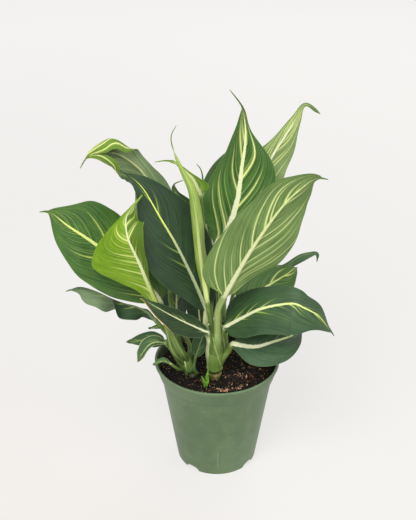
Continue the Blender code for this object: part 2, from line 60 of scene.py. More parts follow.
# The inner wall from the floor to below the lip, as radius and height.
INNER_WALL = [
    (POT_BASE_RADIUS - POT_WALL + 0.8, POT_FLOOR),
    (BAND_FOOT_RADIUS - BAND_STEP - POT_WALL, BAND_FOOT - 1),
    (BAND_FOOT_RADIUS - POT_WALL, BAND_FOOT + 2),
    (POT_RIM_RADIUS - POT_WALL - 1.6, POT_HEIGHT - 4),
]
POT_SIDES = 160
NOTCH_COUNT = 4
NOTCH_WIDTH = 18.0
NOTCH_HEIGHT = 6.5
NOTCH_SHOULDER = 2.0
NOTCH_TURN = -38.0
NOTCH_INNER_RADIUS = 40.0
NOTCH_ARCH_STEPS = 16
SOIL_LEVEL = 130.0
SOIL_RADIUS = 70.0
SOIL_SIDES = 220
SOIL_RINGS = 76

# ------------------------------------------------------------ sizes of the leaves' meshes, mm
GAP = 0.3  # between a stalk and its cane
STALK_RADIUS = 3.0
STALK_STEP = 3.0  # between rings of a stalk
STALK_SEAT = 9.0  # a stalk runs straight beside its cane over this height
TAIL_HALF_WIDTH = 0.5
TAIL_WIDEST = 1.8
BLADE_THICKNESS = 0.55
EDGE_THICKNESS = 0.3
RIB_LEAST = 0.35  # the rib's half-width where it dies out
ARC_STEPS = 48  # for the curl of a blade from rib to margin
RIPPLE_WIDTH = 25.0  # blades of this half-width ripple fully, and narrower ones less
NO_MARGIN = 10.0  # the distance from the margin that a stalk's points are given
SHEATH_REACH = 34.0  # a sheath opens off its cane over this height
SHEATH_LEAST = 2.3  # thinner stalks have no sheath
SHEATH_LAYER = 0.2  # one sheath lies this far inside another
# For each size of leaf: rings along the blade, then points across half of it.
DETAIL = {"large": (92, 17), "small": (44, 9)}
TAIL_RINGS = 8

# Each cane: points up its middle, then its radius at the foot and at the top.
CANES = {
    "cane_front": ([(-3, -24, 96), (-3, -26, 130), (-3, -30, 160), (-4, -33, 195)], 11.0, 6.6),
    "cane_left": ([(-24, -19, 96), (-29, -22, 130), (-37, -24, 150), (-44, -26, 166)], 7.0, 6.0),
    "cane_back": ([(8, 20, 96), (8, 22, 130), (6, 24, 170), (4, 28, 220)], 7.0, 6.0),
}
# How far the sheaths swell a cane at most, the height of that, and how far it spreads.
CANE_SWELL = {"cane_front": (2.6, 172, 17), "cane_left": (1.0, 152, 8)}
CANE_SIDES = 96
CANE_RINGS = 120
# The knob at a cane's foot: how high it reaches, then its dark and light colours.
KNOBS = {
    "cane_front": (144.5, (116, 110, 60), (198, 186, 126)),
    "cane_left": (139.0, (58, 62, 38), (118, 120, 82)),
    "cane_back": (138.0, (90, 86, 48), (160, 150, 98)),
}
# The overlapping edges of the sheaths around each cane: how far round from the front, in
# degrees, at the top and at the foot, then the pale band's width there, in millimetres.
SEAMS = {
    "cane_front": ((-84, -76, 1.5, 1.0), (-6, 56, 0.4, 0.4)),
    "cane_left": ((24, -30, 1.6, 0.9), (-60, -75, 1.4, 0.9)),
    "cane_back": ((-30, 20, 1.6, 1.0), (60, 70, 1.2, 0.8)),
}
# Each blade of the shoot: points up its middle, then its greatest radius.
SHOOTS = (
    ("green_shoot", [(-15, -47, 110), (-14, -46, 130), (-12, -43, 142), (-10, -40, 156)], 2.5),
    ("green_shoot_left", [(-14, -46, 120), (-15, -46, 132), (-16, -45, 139), (-19, -43, 145)],
     1.9),
    ("green_shoot_right", [(-14, -46, 120), (-13, -46, 132), (-11, -45, 137), (-10, -43, 142)],
     1.6),
)
SHOOT_SIDES = 24
SHOOT_RINGS = 40

# Each kind of loose chip: its name, how many, their sizes, its light and dark colours.
CHIP_KINDS = (
    ("bark_chips_dark", 800, (2.5, 8.0), (36, 28, 21), (12, 10, 9)),
    ("bark_chips_red", 230, (2.0, 6.0), (134, 80, 58), (60, 34, 25)),
    ("husk_bits_olive", 560, (1.0, 3.8), (146, 132, 78), (60, 56, 30)),
    ("bark_bits_pale", 220, (1.4, 4.8), (214, 166, 138), (128, 88, 66)),
)
# Where the chips of a kind lie thick: the nearest and farthest shares of the soil's radius,
# then the range of angles in degrees.
CHIP_HEAPS = {
    "bark_bits_pale": ((0.72, 0.8, -92, -56), (0.72, 0.8, -92, -56), (0.42, 0.58, -54, -32)),
    "bark_chips_red": ((0.62, 0.8, -36, -18), (0.2, 0.95, -170, 170), (0.2, 0.95, -90, 0)),
}
HEAPED_SHARE = 0.45
CHIP_SEED = 41

# -------------------------------------------------- sizes of the room, in metres unless said
CAMERA_PLACE = (-0.011, -0.919, 0.759)
CAMERA_TILT = 62.3  # degrees up from straight down
CAMERA_LENS = 62.3  # mm, with a sensor 36 mm wide
LIGHT_SIZE = 1.6
# Each light: where it stands, the height on the axis that it faces, and its power in watts.
LIGHTS = {
    "key": ((-0.6, -1.6, 2.2), 0.25, 60),
    "fill": ((1.7, -1.0, 1.2), 0.2, 14),
    "back": ((0.8, 1.7, 1.8), 0.25, 14),
}
FLOOR_REACH = 40000.0  # mm, as every mesh is given

# ------------------------------------------------------------------------- shared colours
# Painted shade: the darker greens painted where stalks and canes go down into shade at their
# foot.
DARK_FOOT = (60, 90, 38)  # where stalks and canes go down into shade
FRONT_FOOT_SHADE = (80, 108, 42)
HEM = (196, 204, 144)

# Steps that keep one random draw of the veins apart from another.
LEAF_DRAW = 7.3
RIGHT_DRAW = 31.7
THREAD_DRAW = 11
PATCH_DRAW = 4

# ------------------------------------------------------------------- the looks of leaves
# deep and light are the two greens of the upper side. right_painted_shade is painted shade on its
# right half, which folds away from the light, and tip_dark darkens the blade over tip_from. under
# and under_light are the greens of the lower side.
# vein is the cream of the streaks, strength and under_vein how plainly they show on the two
# sides, vein_width their half-width in millimetres, reach how far out they run, count how
# many leave the rib, sparse the share left out, sweep and curl how they run forward and
# bend, tip_fade and left_fade how far they fade there, fine the strength of the threads
# between them, and seed their draw. rib turns to rib_tip over rib_turn, and rib_band is its
# width. margin is the edge's colour, margin_width its width in millimetres, and burnt the
# colour of a scorched left edge. stalk and stalk_streak colour the stalk. pleats is the
# quilting between veins, wave the ripple of the margin in millimetres, gloss the roughness
# and sheen the specular level.
PLAIN = dict(
    deep=(46, 84, 34), light=(80, 118, 46), right_painted_shade=None, tip_dark=None, tip_from=(0.8, 0.95),
    under=(100, 128, 72), under_light=(130, 154, 92), vein=(220, 232, 136), strength=0.9,
    under_vein=0.6, vein_width=0.9, reach=0.75, count=7.0, sparse=0.4, sweep=0.32, curl=0.75,
    tip_fade=0.8, left_fade=0.0, fine=0.3, rib=(230, 234, 184), rib_tip=(196, 214, 104),
    rib_turn=(0.1, 0.8), rib_band=1.0, margin=(122, 150, 84), margin_width=0.6, burnt=None,
    stalk=(94, 124, 50), stalk_streak=(138, 160, 84), pleats=1.0, wave=0.8, gloss=0.4, sheen=0.42)
DARK = dict(
    PLAIN, deep=(28, 54, 34), light=(50, 80, 46), vein=(176, 200, 110), strength=0.6,
    vein_width=0.6, reach=0.45, sparse=0.5, fine=0.12, margin=(96, 122, 74), pleats=0.5)
YOUNG = dict(
    PLAIN, deep=(80, 124, 22), light=(122, 164, 32), under=(116, 154, 44),
    under_light=(150, 180, 66), vein=(222, 230, 140), strength=0.8, vein_width=0.8, reach=0.6,
    count=12.0, sparse=0.15, rib=(222, 230, 172), rib_tip=(220, 228, 150), margin=(140, 170, 60),
    pleats=0.4)
GREY = dict(
    PLAIN, deep=(52, 86, 52), light=(80, 112, 70), strength=0.15, fine=0.1, rib=(190, 204, 140),
    rib_band=0.7)
LOOKS = {
    "leaf_centre_dark": dict(
        DARK, deep=(24, 48, 29), light=(44, 72, 40), vein=(160, 194, 88), vein_width=0.5,
        count=9.0, rib=(186, 196, 154), rib_tip=(218, 232, 100), rib_turn=(0.4, 0.7),
        rib_band=0.8, stalk=(172, 184, 126), stalk_streak=(206, 212, 160)),
    "leaf_front_right": dict(
        PLAIN, tip_dark=(84, 112, 50), tip_from=(0.66, 1.1), under=(80, 108, 48),
        under_light=(114, 142, 76), vein=(214, 228, 148), under_vein=1.0, vein_width=0.8,
        reach=1.15, count=9.0, sparse=0.05, sweep=0.36, curl=0.7, left_fade=0.3, fine=0.15,
        rib=(216, 222, 172), rib_tip=(204, 216, 140), rib_band=0.8, margin=(84, 112, 54),
        stalk=(132, 156, 84), stalk_streak=(186, 198, 134)),
    "leaf_right_arching": dict(
        DARK, deep=(34, 62, 38), light=(62, 94, 54), vein=(188, 212, 96), strength=0.8,
        reach=0.4, count=15.0, sparse=0.3, sweep=0.4, rib=(226, 230, 188),
        rib_tip=(218, 230, 130), rib_band=0.8),
    "leaf_right_low": dict(
        DARK, deep=(37, 65, 43), light=(65, 97, 60), vein=(118, 154, 100), rib=(238, 240, 202),
        rib_tip=(222, 234, 150), rib_turn=(0.4, 0.9)),
    "leaf_new_rolled": dict(
        YOUNG, tip_dark=(90, 130, 48), under=(138, 170, 66), under_light=(172, 198, 98),
        strength=0.3, rib=(202, 218, 134), rib_tip=(128, 164, 66)),
    "leaf_young_tip": dict(YOUNG, deep=(84, 128, 26), light=(112, 152, 38)),
    "leaf_front_short": dict(
        DARK, deep=(26, 50, 28), light=(47, 74, 38), rib=(232, 232, 194),
        rib_tip=(216, 222, 166), rib_band=0.5, margin_width=0.9, burnt=(232, 190, 66)),
    "leaf_left_large": dict(
        PLAIN, vein=(222, 236, 120), strength=1.0, reach=0.8, count=8.0, sparse=0.62, fine=0.2,
        rib=(236, 238, 190), rib_tip=(226, 238, 128), rib_band=1.3),
    "leaf_left_young": dict(
        YOUNG, deep=(91, 130, 12), light=(120, 154, 30), right_painted_shade=(66, 94, 14),
        vein=(206, 220, 124), strength=0.72, vein_width=0.9, reach=0.8, count=19.0, sparse=0.0,
        sweep=0.14, curl=0.55, fine=0.8, rib=(178, 196, 96), rib_tip=(210, 217, 168),
        rib_turn=(0.12, 0.5), rib_band=0.95, gloss=0.55, sheen=0.25),
    "leaf_upper_left": dict(
        PLAIN, deep=(78, 116, 22), light=(112, 146, 36), under=(98, 124, 84),
        under_light=(132, 154, 112), vein=(232, 238, 150), strength=1.0, under_vein=0.12,
        vein_width=2.1, reach=1.2, count=12.0, sparse=0.0, tip_fade=0.0, rib=(190, 200, 150),
        rib_tip=(196, 206, 150)),
    "leaf_left_low": dict(
        DARK, under=(98, 122, 84), under_light=(120, 142, 102), rib=(120, 142, 100),
        rib_tip=(112, 138, 88)),
    "leaf_left_small": dict(GREY, rib=(150, 176, 104), rib_band=0.3),
    "leaf_left_thread": GREY,
    "leaf_left_arched": dict(GREY, rib_band=0.4, margin=(200, 208, 146), margin_width=1.1),
    "leaf_soil_narrow": dict(GREY, rib_band=0.3),
    "leaf_inner_small": dict(GREY, rib=(150, 176, 104), rib_band=0.3),
    "leaf_right_back": dict(GREY, rib=(120, 146, 100), rib_tip=(110, 138, 96), rib_band=0.3),
    "leaf_back_left": dict(DARK, deep=(44, 64, 52), light=(66, 88, 70), rib_band=0.6),
    "leaf_behind_stem": dict(DARK, rib_band=0.5),
    "leaf_back_rounded": dict(PLAIN, deep=(50, 84, 42), light=(88, 118, 70)),
    "leaf_back_slender": PLAIN,
    "leaf_right_behind": dict(PLAIN, reach=0.9, count=6.0, sparse=0.6, fine=0.2),
    "leaf_top_centre": dict(
        PLAIN, deep=(44, 82, 29), light=(78, 117, 46), vein=(230, 238, 146), strength=1.0,
        vein_width=1.1, reach=0.95, sparse=0.2, left_fade=0.3, fine=0.4, seed=3.0,
        rib=(230, 232, 196), rib_tip=(228, 236, 168), rib_band=1.4),
    "leaf_upper_right": dict(
        PLAIN, tip_dark=(80, 110, 52), tip_from=(0.84, 0.93), under=(110, 135, 80),
        under_light=(130, 152, 94), under_vein=0.8, vein_width=0.6, reach=1.1, count=10.0,
        sparse=0.05, rib=(220, 226, 180), rib_tip=(150, 176, 96), rib_turn=(0.6, 0.85),
        rib_band=0.7),
    "leaf_rear_left": dict(PLAIN, under=(52, 90, 50), under_light=(74, 114, 68)),
    "leaf_rear_low": dict(DARK, reach=0.6, count=9.0),
    "leaf_rear_back": dict(PLAIN, sparse=0.5),
}

LEAVES = {}


def leaf(name, foot, stalk, rib, half, face, fold=(15, 12, 8), roll=(0, 0, 0), tail=0.95,
         radius=STALK_RADIUS, size="large"):
    """One leaf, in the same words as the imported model's: the cane, height and direction of
    its foot, or only the cane where it grows from the top, points up its stalk and along
    its rib, half-widths on its left and right, and the ways its upper side faces. Then how
    far its halves fold up from the rib and roll on towards the margin, in degrees, the
    share of its length where the drip tip starts, its stalk's radius and its detail."""
    LEAVES[name] = {
        "foot": foot, "stalk": stalk, "rib": rib, "half": half, "face": face,
        "fold": fold, "roll": roll, "tail": tail, "radius": radius, "size": size,
    }


# ------------------------------------------------------------------ leaves of the front cane
leaf("leaf_centre_dark", ("cane_front", 176, 190), [(-14, -32, 205)],
     [(-13, -29, 227), (-29, -34, 273), (-46, -39, 316), (-63, -42, 351), (-79, -41, 382),
      (-93, -39, 396), (-106, -40, 403)],
     ((20, 36, 42, 31, 15), (26, 36, 38, 34, 20)), [(2, -8, 5), (2, -8, 5), (1, -7, 7)],
     {"left": (24, 18, 12), "right": (2, 2, 4)}, {"left": (-12, -8, -5), "right": (-8, -6, -5)})
leaf("leaf_front_right", ("cane_front", 164, 295), [(0, -43, 200), (0, -46, 235)],
     [(7, -48, 256), (29, -60, 309), (49, -68, 349), (68, -72, 380), (83, -72, 396),
      (97, -70, 406), (112, -66, 404)],
     ((20, 38, 40, 32, 22), (37, 37, 34, 29, 24)), [(0, 9, 1), (0, 9, 1), (0, 8, 4)],
     {"left": (14, 10, 8), "right": (2, 2, 4)}, tail=0.96, radius=3.6)
leaf("leaf_right_arching", ("cane_front", 170, 335), [(5, -37, 200)],
     [(8, -38, 209), (28, -48, 228), (49, -58, 246), (80, -66, 257), (95, -69, 253),
      (112, -70, 242), (130, -66, 215)],
     ((34, 31, 29, 20, 15), (23, 28, 33, 36, 18)), [(0, -5, 8), (0, -5, 8), (6, -4, 6)],
     (4, -2, -5), (-20, -20, -10))
leaf("leaf_right_low", ("cane_front", 144, 355), [(13, -32, 172)],
     [(17, -40, 188), (42, -50, 190), (65, -48, 196), (85, -38, 197), (101, -22, 196)],
     ((14, 24, 28, 25, 15), (14, 25, 29, 25, 14)), [(0, -6, 8), (0, -5, 8), (2, -4, 8)],
     (10, 8, 5))
leaf("leaf_new_rolled", ("cane_front",), [(-7, -37, 215)],
     [(-12, -45, 248), (-20, -47, 313), (-23, -47, 348), (-28, -45, 378), (-37, -41, 399),
      (-44, -37, 415), (-49, -32, 430), (-49, -29, 439), (-44, -26, 448)],
     ((14, 15, 15, 13, 7), (14, 15, 15, 13, 7)), [(0, 1, 0)],
     (40, 40, 40), (50, 50, 50), tail=0.86)
leaf("leaf_young_tip", ("cane_front", 176, 100), [(-8, -20, 230), (-14, -8, 300), (-17, -8, 335)],
     [(-19, -8, 362), (-27, -9, 380), (-36, -10, 391), (-47, -11, 401), (-57, -13, 404),
      (-68, -15, 403)],
     ((9, 6, 3, 2, 1), (12, 7, 3, 2, 1)), [(0, -10, 3)], (10, 10, 10), tail=0.75,
     radius=2.0, size="small")
leaf("leaf_front_short", ("cane_front", 166, 245), [(-9, -43, 192)],
     [(-11, -44, 206), (-21, -49, 214), (-45, -71, 241), (-66, -89, 266), (-77, -94, 277),
      (-83, -96, 281)],
     ((12, 15, 16, 12, 8), (10, 11, 10, 8, 5)), [(0, -7, 7)], (0, 0, 0), (-20, -20, -20),
     radius=2.4)
# ------------------------------------------------------------------- leaves of the left cane
leaf("leaf_left_large", ("cane_left", 146, 262), [(-52, -38, 180), (-59, -35, 208)],
     [(-65, -29, 237), (-76, -31, 253), (-89, -33, 263), (-129, -40, 312), (-161, -45, 341),
      (-178, -48, 358), (-190, -49, 360)],
     ((19, 33, 39, 39, 24), (31, 37, 40, 41, 33)), [(1, -8, 7)], (15, 12, 8), (-10, -10, -10))
leaf("leaf_left_young", ("cane_left", 146, 305), [(-46, -48, 190), (-55, -60, 222)],
     [(-62, -68, 244), (-73, -77, 281), (-84, -81, 317), (-94, -81, 344), (-96, -73, 363),
      (-90, -62, 371), (-84, -54, 376), (-80, -50, 380)],
     ((7, 9, 16, 34, 49, 53, 43, 23, 5), (3, 3, 4, 5, 8, 11, 15, 17, 17)),
     [(-1, -8, 0), (-1, -8, 0), (-2, -8, 1), (-2, -6, 5)],
     {"left": (5, 0, 0, 0), "right": (30, 30, 10, -25, -30)},
     {"left": (-8, -10, -20), "right": (0, 0, 0)}, tail=0.9)
leaf("leaf_upper_left", ("cane_left", 152, 85), [(-48, -9, 180), (-54, 2, 212)],
     [(-56, 5, 234), (-61, 0, 277), (-66, -5, 320), (-71, -8, 352), (-75, -11, 376),
      (-82, -14, 391), (-90, -17, 401), (-99, -21, 410), (-109, -25, 417), (-120, -29, 419),
      (-130, -33, 419), (-138, -36, 416), (-145, -40, 406)],
     ((24, 30, 32, 31, 27, 19, 12, 17, 36), (26, 30, 30, 27, 22, 18, 20, 32, 31)),
     [(0, 8, 3), (0, 8, 3), (0, 8, 2), (0, 8, -4)],
     (15, 15, 15, 15, 12, 10, 10, 10, 20, 40, 40, 40),
     {"left": (0, 0, 0, 0, 0, 0, 0, 0, 0, -200, -260, -260),
      "right": (0, 0, 0, 0, 0, 0, 0, -30, -140, -230, -260, -260)})
leaf("leaf_left_low", ("cane_left",), [(-54, -26, 186)],
     [(-72, -30, 214), (-80, -33, 227), (-92, -36, 236), (-106, -39, 242), (-120, -42, 250),
      (-132, -44, 258), (-145, -46, 265), (-156, -47, 267), (-169, -50, 263)],
     ((13, 17, 18, 12, 5), (10, 15, 17, 16, 15)), [(0, -8, 6), (0, -2, 9), (0, 9, 4), (0, 9, 4)],
     {"left": (-40, -40, -50), "right": (-75, -60, -30)}, radius=2.6)
leaf("leaf_left_small", ("cane_left", 140, 150), [(-52, -9, 164)],
     [(-63, -8, 171), (-80, -10, 174), (-95, -12, 174), (-109, -14, 173)],
     ((8, 10, 9, 7, 4), (8, 10, 9, 7, 4)), [(0, -6, 8)], (10, 10, 10), radius=2.0,
     size="small")
leaf("leaf_left_thread", ("cane_left", 152, 180), [(-54, -22, 172), (-58, -20, 187)],
     [(-60, -22, 196), (-66, -22, 199), (-73, -22, 199), (-81, -22, 197)],
     ((2, 2.5, 2.5, 2, 1), (2, 2.5, 2.5, 2, 1)), [(0, -6, 8)], (30, 30, 30), radius=1.4,
     size="small")
leaf("leaf_left_arched", ("cane_left", 142, 200), [(-54, -32, 174)],
     [(-61, -36, 186), (-70, -40, 190), (-79, -44, 189), (-86, -46, 180), (-93, -46, 166)],
     ((3, 4, 4, 4, 4), (7, 9, 9, 8, 6)), [(0, -4, 8)], (10, 10, 10), radius=2.0, size="small")
leaf("leaf_soil_narrow", ("cane_left", 137, 225), [(-46, -38, 151)],
     [(-55, -44, 163), (-64, -48, 169), (-75, -52, 166)],
     ((1, 1.5, 1.5, 1, 1), (3, 4, 4, 3, 2)), [(0, -4, 8)], (10, 10, 10), radius=1.6,
     size="small")
leaf("leaf_inner_small", ("cane_left", 134, 330), [],
     [(-26, -18, 155), (-22, -12, 165), (-17, -6, 178), (-13, -2, 189)],
     ((7, 9, 9, 7, 4), (7, 9, 9, 7, 4)), [(0, -8, 2)], (10, 10, 10), radius=2.0, size="small")
leaf("leaf_back_left", ("cane_left", 138, 35), [(-34, 4, 160)],
     [(-46, 14, 176), (-49, 18, 203), (-48, 20, 232), (-46, 22, 260), (-41, 22, 278)],
     ((12, 18, 18, 12, 6), (10, 13, 13, 10, 5)), [(0, -9, 2)], radius=2.4,
     size="small")
# ------------------------------------------------------------------- leaves of the back cane
leaf("leaf_top_centre", ("cane_back",), [(1, 29, 250)],
     [(-3, 30, 281), (11, 34, 296), (23, 42, 333), (28, 50, 371), (32, 55, 405),
      (29, 58, 435), (25, 55, 446), (13, 50, 463)],
     ((33, 40, 34, 22, 14), (22, 34, 41, 33, 7)), [(0, -9, 2)], (15, 12, 8), (-10, -10, 0),
     tail=0.85)
leaf("leaf_upper_right", ("cane_back", 196, 35), [(20, 46, 250), (28, 57, 290)],
     [(39, 60, 324), (63, 75, 372), (79, 80, 398), (91, 83, 418), (101, 80, 436),
      (118, 74, 427)],
     ((26, 24, 21, 11, 2.5), (17, 20, 11, 7, 3)), [(1, 9, 0)], tail=0.97)
leaf("leaf_back_rounded", ("cane_back", 192, 110), [(-2, 55, 232)],
     [(-5, 70, 254), (-1, 76, 305), (5, 78, 344), (13, 78, 372), (22, 74, 388)],
     ((18, 24, 24, 20, 13), (18, 24, 24, 18, 9)), [(0, -9, 2)])
leaf("leaf_back_slender", ("cane_back", 196, 165), [(-9, 36, 240)],
     [(-13, 45, 293), (-16, 45, 326), (-17, 42, 359), (-19, 40, 372), (-24, 38, 380)],
     ((5, 7, 6, 4, 1.5), (6, 8, 7, 5, 2)), [(0, -9, 2)], tail=0.7, radius=2.0, size="small")
leaf("leaf_right_back", ("cane_back", 164, 310), [(17, 8, 200)],
     [(22, 3, 221), (38, 19, 225), (53, 31, 232), (68, 41, 237), (84, 49, 242),
      (101, 55, 252), (115, 57, 256), (122, 55, 256), (122, 53, 246)],
     ((5, 6, 5, 3, 2), (7, 11, 9, 6, 8)), [(0, -5, 8)], radius=2.4)
leaf("leaf_right_behind", ("cane_back", 156, 345), [(28, 4, 198)],
     [(31, -8, 215), (42, 0, 226), (55, 10, 233), (64, 16, 236), (81, 26, 242), (91, 32, 246),
      (97, 40, 245)],
     ((22, 25, 21, 17, 11), (12, 18, 24, 23, 15)), [(0, -6, 7)], radius=2.4)
leaf("leaf_behind_stem", ("cane_back", 146, 215), [(-15, 14, 166)],
     [(-20, 14, 174), (-22, 14, 200), (-24, 13, 228), (-26, 12, 257)],
     ((11, 14, 14, 10, 5), (12, 15, 15, 12, 6)), [(0, -9, 2)], radius=2.4,
     size="small")
# ---------------------------------------------------------------- leaves on the hidden side
leaf("leaf_rear_left", ("cane_back", 170, 155), [(-12, 40, 215)],
     [(-20, 54, 240), (-33, 58, 280), (-43, 48, 325), (-49, 30, 350), (-49, 20, 362),
      (-39, 16, 369)],
     ((12, 20, 20, 13, 5), (12, 20, 20, 13, 5)), [(0, 9, 3)], tail=0.88, radius=2.4)
leaf("leaf_rear_low", ("cane_back", 156, 55), [(18, 48, 192)],
     [(22, 56, 205), (45, 75, 222), (70, 88, 222), (92, 94, 205)],
     ((14, 22, 24, 20, 12), (14, 22, 24, 20, 12)), [(0, 3, 9)], radius=2.4)
leaf("leaf_rear_back", ("cane_back", 152, 110), [(-8, 48, 192)],
     [(-15, 55, 208), (-35, 76, 228), (-55, 90, 232), (-74, 95, 216)],
     ((13, 21, 23, 19, 11), (13, 21, 23, 19, 11)), [(0, 3, 9)], radius=2.4)


# ---------------------------------------------------------------------------- shader maths
def paint(red, green, blue):
    """A colour given on the 0 to 255 scale, as the shaders want it."""
    values = []
    for part in (red, green, blue):
        part = part / 255
        values.append(part / 12.92 if part <= 0.04045 else ((part + 0.055) / 1.055) ** 2.4)
    return (*values, 1.0)


class Value:
    """A socket that takes part in sums. Each operator adds the Math node it stands for."""

    def __init__(self, finish, socket):
        self.finish = finish
        self.socket = socket

    def math(self, operation, *others):
        inputs = dict(enumerate((self, *others)))
        return self.finish.add("Math", {"operation": operation}, inputs)

    def __add__(self, other):
        return self.math("ADD", other)

    __radd__ = __add__

    def __mul__(self, other):
        return self.math("MULTIPLY", other)

    __rmul__ = __mul__

    def __sub__(self, other):
        return self.math("SUBTRACT", other)

    def __rsub__(self, other):
        return self.finish.add("Math", {"operation": "SUBTRACT"}, {0: other, 1: self})

    def __truediv__(self, other):
        return self.math("DIVIDE", other)

    def __rtruediv__(self, other):
        return self.finish.add("Math", {"operation": "DIVIDE"}, {0: other, 1: self})

    def __pow__(self, other):
        return self.math("POWER", other)

    def __abs__(self):
        return self.math("ABSOLUTE")

    def above(self, level):
        return self.math("GREATER_THAN", level)

    def least(self, other):
        return self.math("MINIMUM", other)

    def most(self, other):
        return self.math("MAXIMUM", other)

    def rise(self, low, high):
        """0 below low, 1 above high, and smooth between."""
        return self.finish.add("MapRange", {"interpolation_type": "SMOOTHSTEP"},
                               {"Value": self, "From Min": low, "From Max": high}, "Result")


class Finish:
    """One material: its Principled shader and the nodes that feed it."""

    def __init__(self, name, **fixed):
        self.material = bpy.data.materials.new(name.replace("_", " "))
        self.material.use_nodes = True
        self.tree = self.material.node_tree
        self.shader = self.tree.nodes["Principled BSDF"]
        self.feed({key.replace("_", " "): value for key, value in fixed.items()})

    @staticmethod
    def socket(sockets, key):
        if isinstance(key, int):
            return sockets[key]
        for one in sockets:
            if one.identifier == key:
                return one
        return sockets[key]

    def plug(self, node, inputs):
        for key, value in inputs.items():
            target = self.socket(node.inputs, key)
            if isinstance(value, Value):
                self.tree.links.new(value.socket, target)
            else:
                target.default_value = value

    def feed(self, inputs):
        self.plug(self.shader, inputs)

    def cover(self, colour, rough, relief, strength, depth):
        """The whole surface: its colour, its roughness, and its relief of a depth in metres."""
        bump = self.add("Bump", None, {"Height": relief, "Strength": strength,
                                       "Distance": depth}, "Normal")
        self.feed({"Base Color": colour, "Roughness": rough, "Normal": bump})
        return self.material

    def add(self, kind, settings=None, inputs=None, output=0):
        """Any node: its type, its settings, then the values or links of its sockets."""
        node = self.tree.nodes.new("ShaderNode" + kind)
        for key, value in (settings or {}).items():
            setattr(node, key, value)
        self.plug(node, inputs or {})
        return Value(self, self.socket(node.outputs, output))

    def mix(self, share, first, second):
        """The first colour where share is 0, the second where it is 1. A plain colour is
        three numbers from 0 to 255, or four as the shaders want them."""
        first, second = [paint(*one) if isinstance(one, tuple) and len(one) == 3 else one
                         for one in (first, second)]
        return self.add("Mix", {"data_type": "RGBA"},
                        {"Factor_Float": share, "A_Color": first, "B_Color": second},
                        "Result_Color")

    def parts(self, vector):
        return [self.add("SeparateXYZ", None, {0: vector}, axis) for axis in "XYZ"]

    def vector(self, x, y, z):
        return self.add("CombineXYZ", None, {0: x, 1: y, 2: z})

    def grain(self, vector, scale, detail=2.0, rough=0.5):
        """Soft noise from 0 to 1 over a vector in metres or in the leaf's own measures."""
        return self.add("TexNoise", None, {"Vector": vector, "Scale": scale, "Detail": detail,
                                           "Roughness": rough}, "Fac")

    def place(self):
        return self.add("TexCoord", None, None, "Object")

    def measure(self, name, output="Vector"):
        """What the mesh carries under a name at each of its points."""
        return self.add("Attribute", {"attribute_name": name}, None, output)


# ------------------------------------------------------------------------------ mesh making
def linked(name, mesh):
    thing = bpy.data.objects.new(name, mesh)
    bpy.context.scene.collection.objects.link(thing)
    return thing


def new_piece(name, points, faces, material):
    """A smoothly shaded piece from points in millimetres."""
    mesh = bpy.data.meshes.new(name)
    mesh.from_pydata([tuple(p) for p in np.asarray(points) * MM], [], faces)
    mesh.shade_smooth()
    mesh.materials.append(material)
    return linked(name, mesh)


def mark(mesh, name, values, kind="FLOAT_VECTOR"):
    """Stores a measure at each point of the mesh, for its finish to read."""
    layer = mesh.attributes.new(name, kind, "POINT")
    key = "vector" if kind == "FLOAT_VECTOR" else "value"
    layer.data.foreach_set(key, np.asarray(values, np.float32).ravel())


def ring_faces(rows, count):
    """A closed skin over rings of equal size: quads between them and a face at each end."""
    last = (rows - 1) * count
    faces = [tuple(range(count - 1, -1, -1)), tuple(range(last, last + count))]
    for low in range(0, last, count):
        for j in range(count):
            k = (j + 1) % count
            faces.append((low + j, low + k, low + k + count, low + j + count))
    return faces


def unit(vectors):
    vectors = np.asarray(vectors, float)
    return vectors / np.linalg.norm(vectors, axis=-1, keepdims=True)


def read_at(places, run, rows):
    """Rows of three numbers, which stand at the places in run, read between them."""
    return np.stack([np.interp(places, run, rows[:, k]) for k in range(3)], axis=1)


def smooth_path(points, count):
    """Even points along a smooth curve through the given ones."""
    path = np.array(points, float)
    path = np.vstack([2 * path[0] - path[1], path, 2 * path[-1] - path[-2]])
    fine = []
    for before, start, end, after in zip(path, path[1:], path[2:], path[3:]):
        for t in np.linspace(0, 1, 30, endpoint=False):
            fine.append(0.5 * (2 * start + (end - before) * t
                               + (2 * before - 5 * start + 4 * end - after) * t * t
                               + (3 * start - before - 3 * end + after) * t ** 3))
    fine = np.array(fine + [path[-2]])
    run = np.concatenate([[0], np.cumsum(np.linalg.norm(np.diff(fine, axis=0), axis=1))])
    return read_at(np.linspace(0, run[-1], count), run, fine)


def path_length(points):
    return float(np.linalg.norm(np.diff(points, axis=0), axis=1).sum())


def eased_step(values):
    values = np.clip(values, 0, 1)
    return values * values * (3 - 2 * values)


def keyed(keys, s):
    """Evenly spaced keys along the blade, eased between one and the next."""
    keys = np.asarray(keys, float)
    if len(keys) == 1:
        return np.repeat(keys, len(s), axis=0)
    place = np.clip(s, 0, 1) * (len(keys) - 1)
    index = np.minimum(place.astype(int), len(keys) - 2)
    part = eased_step(place - index)
    if keys.ndim > 1:
        part = part[:, None]
    return keys[index] * (1 - part) + keys[index + 1] * part


def carried_frames(points, first_up, first_right):
    """Frames along a path that turn with it and don't twist, starting from the first."""
    frames = []
    up, right = first_up, first_right
    for direction in unit(np.gradient(points, axis=0)):
        up = unit(up - np.dot(up, direction) * direction)
        right = unit(right - np.dot(right, direction) * direction
                     - np.dot(right, up) * up)
        frames.append((up, right))
    return frames


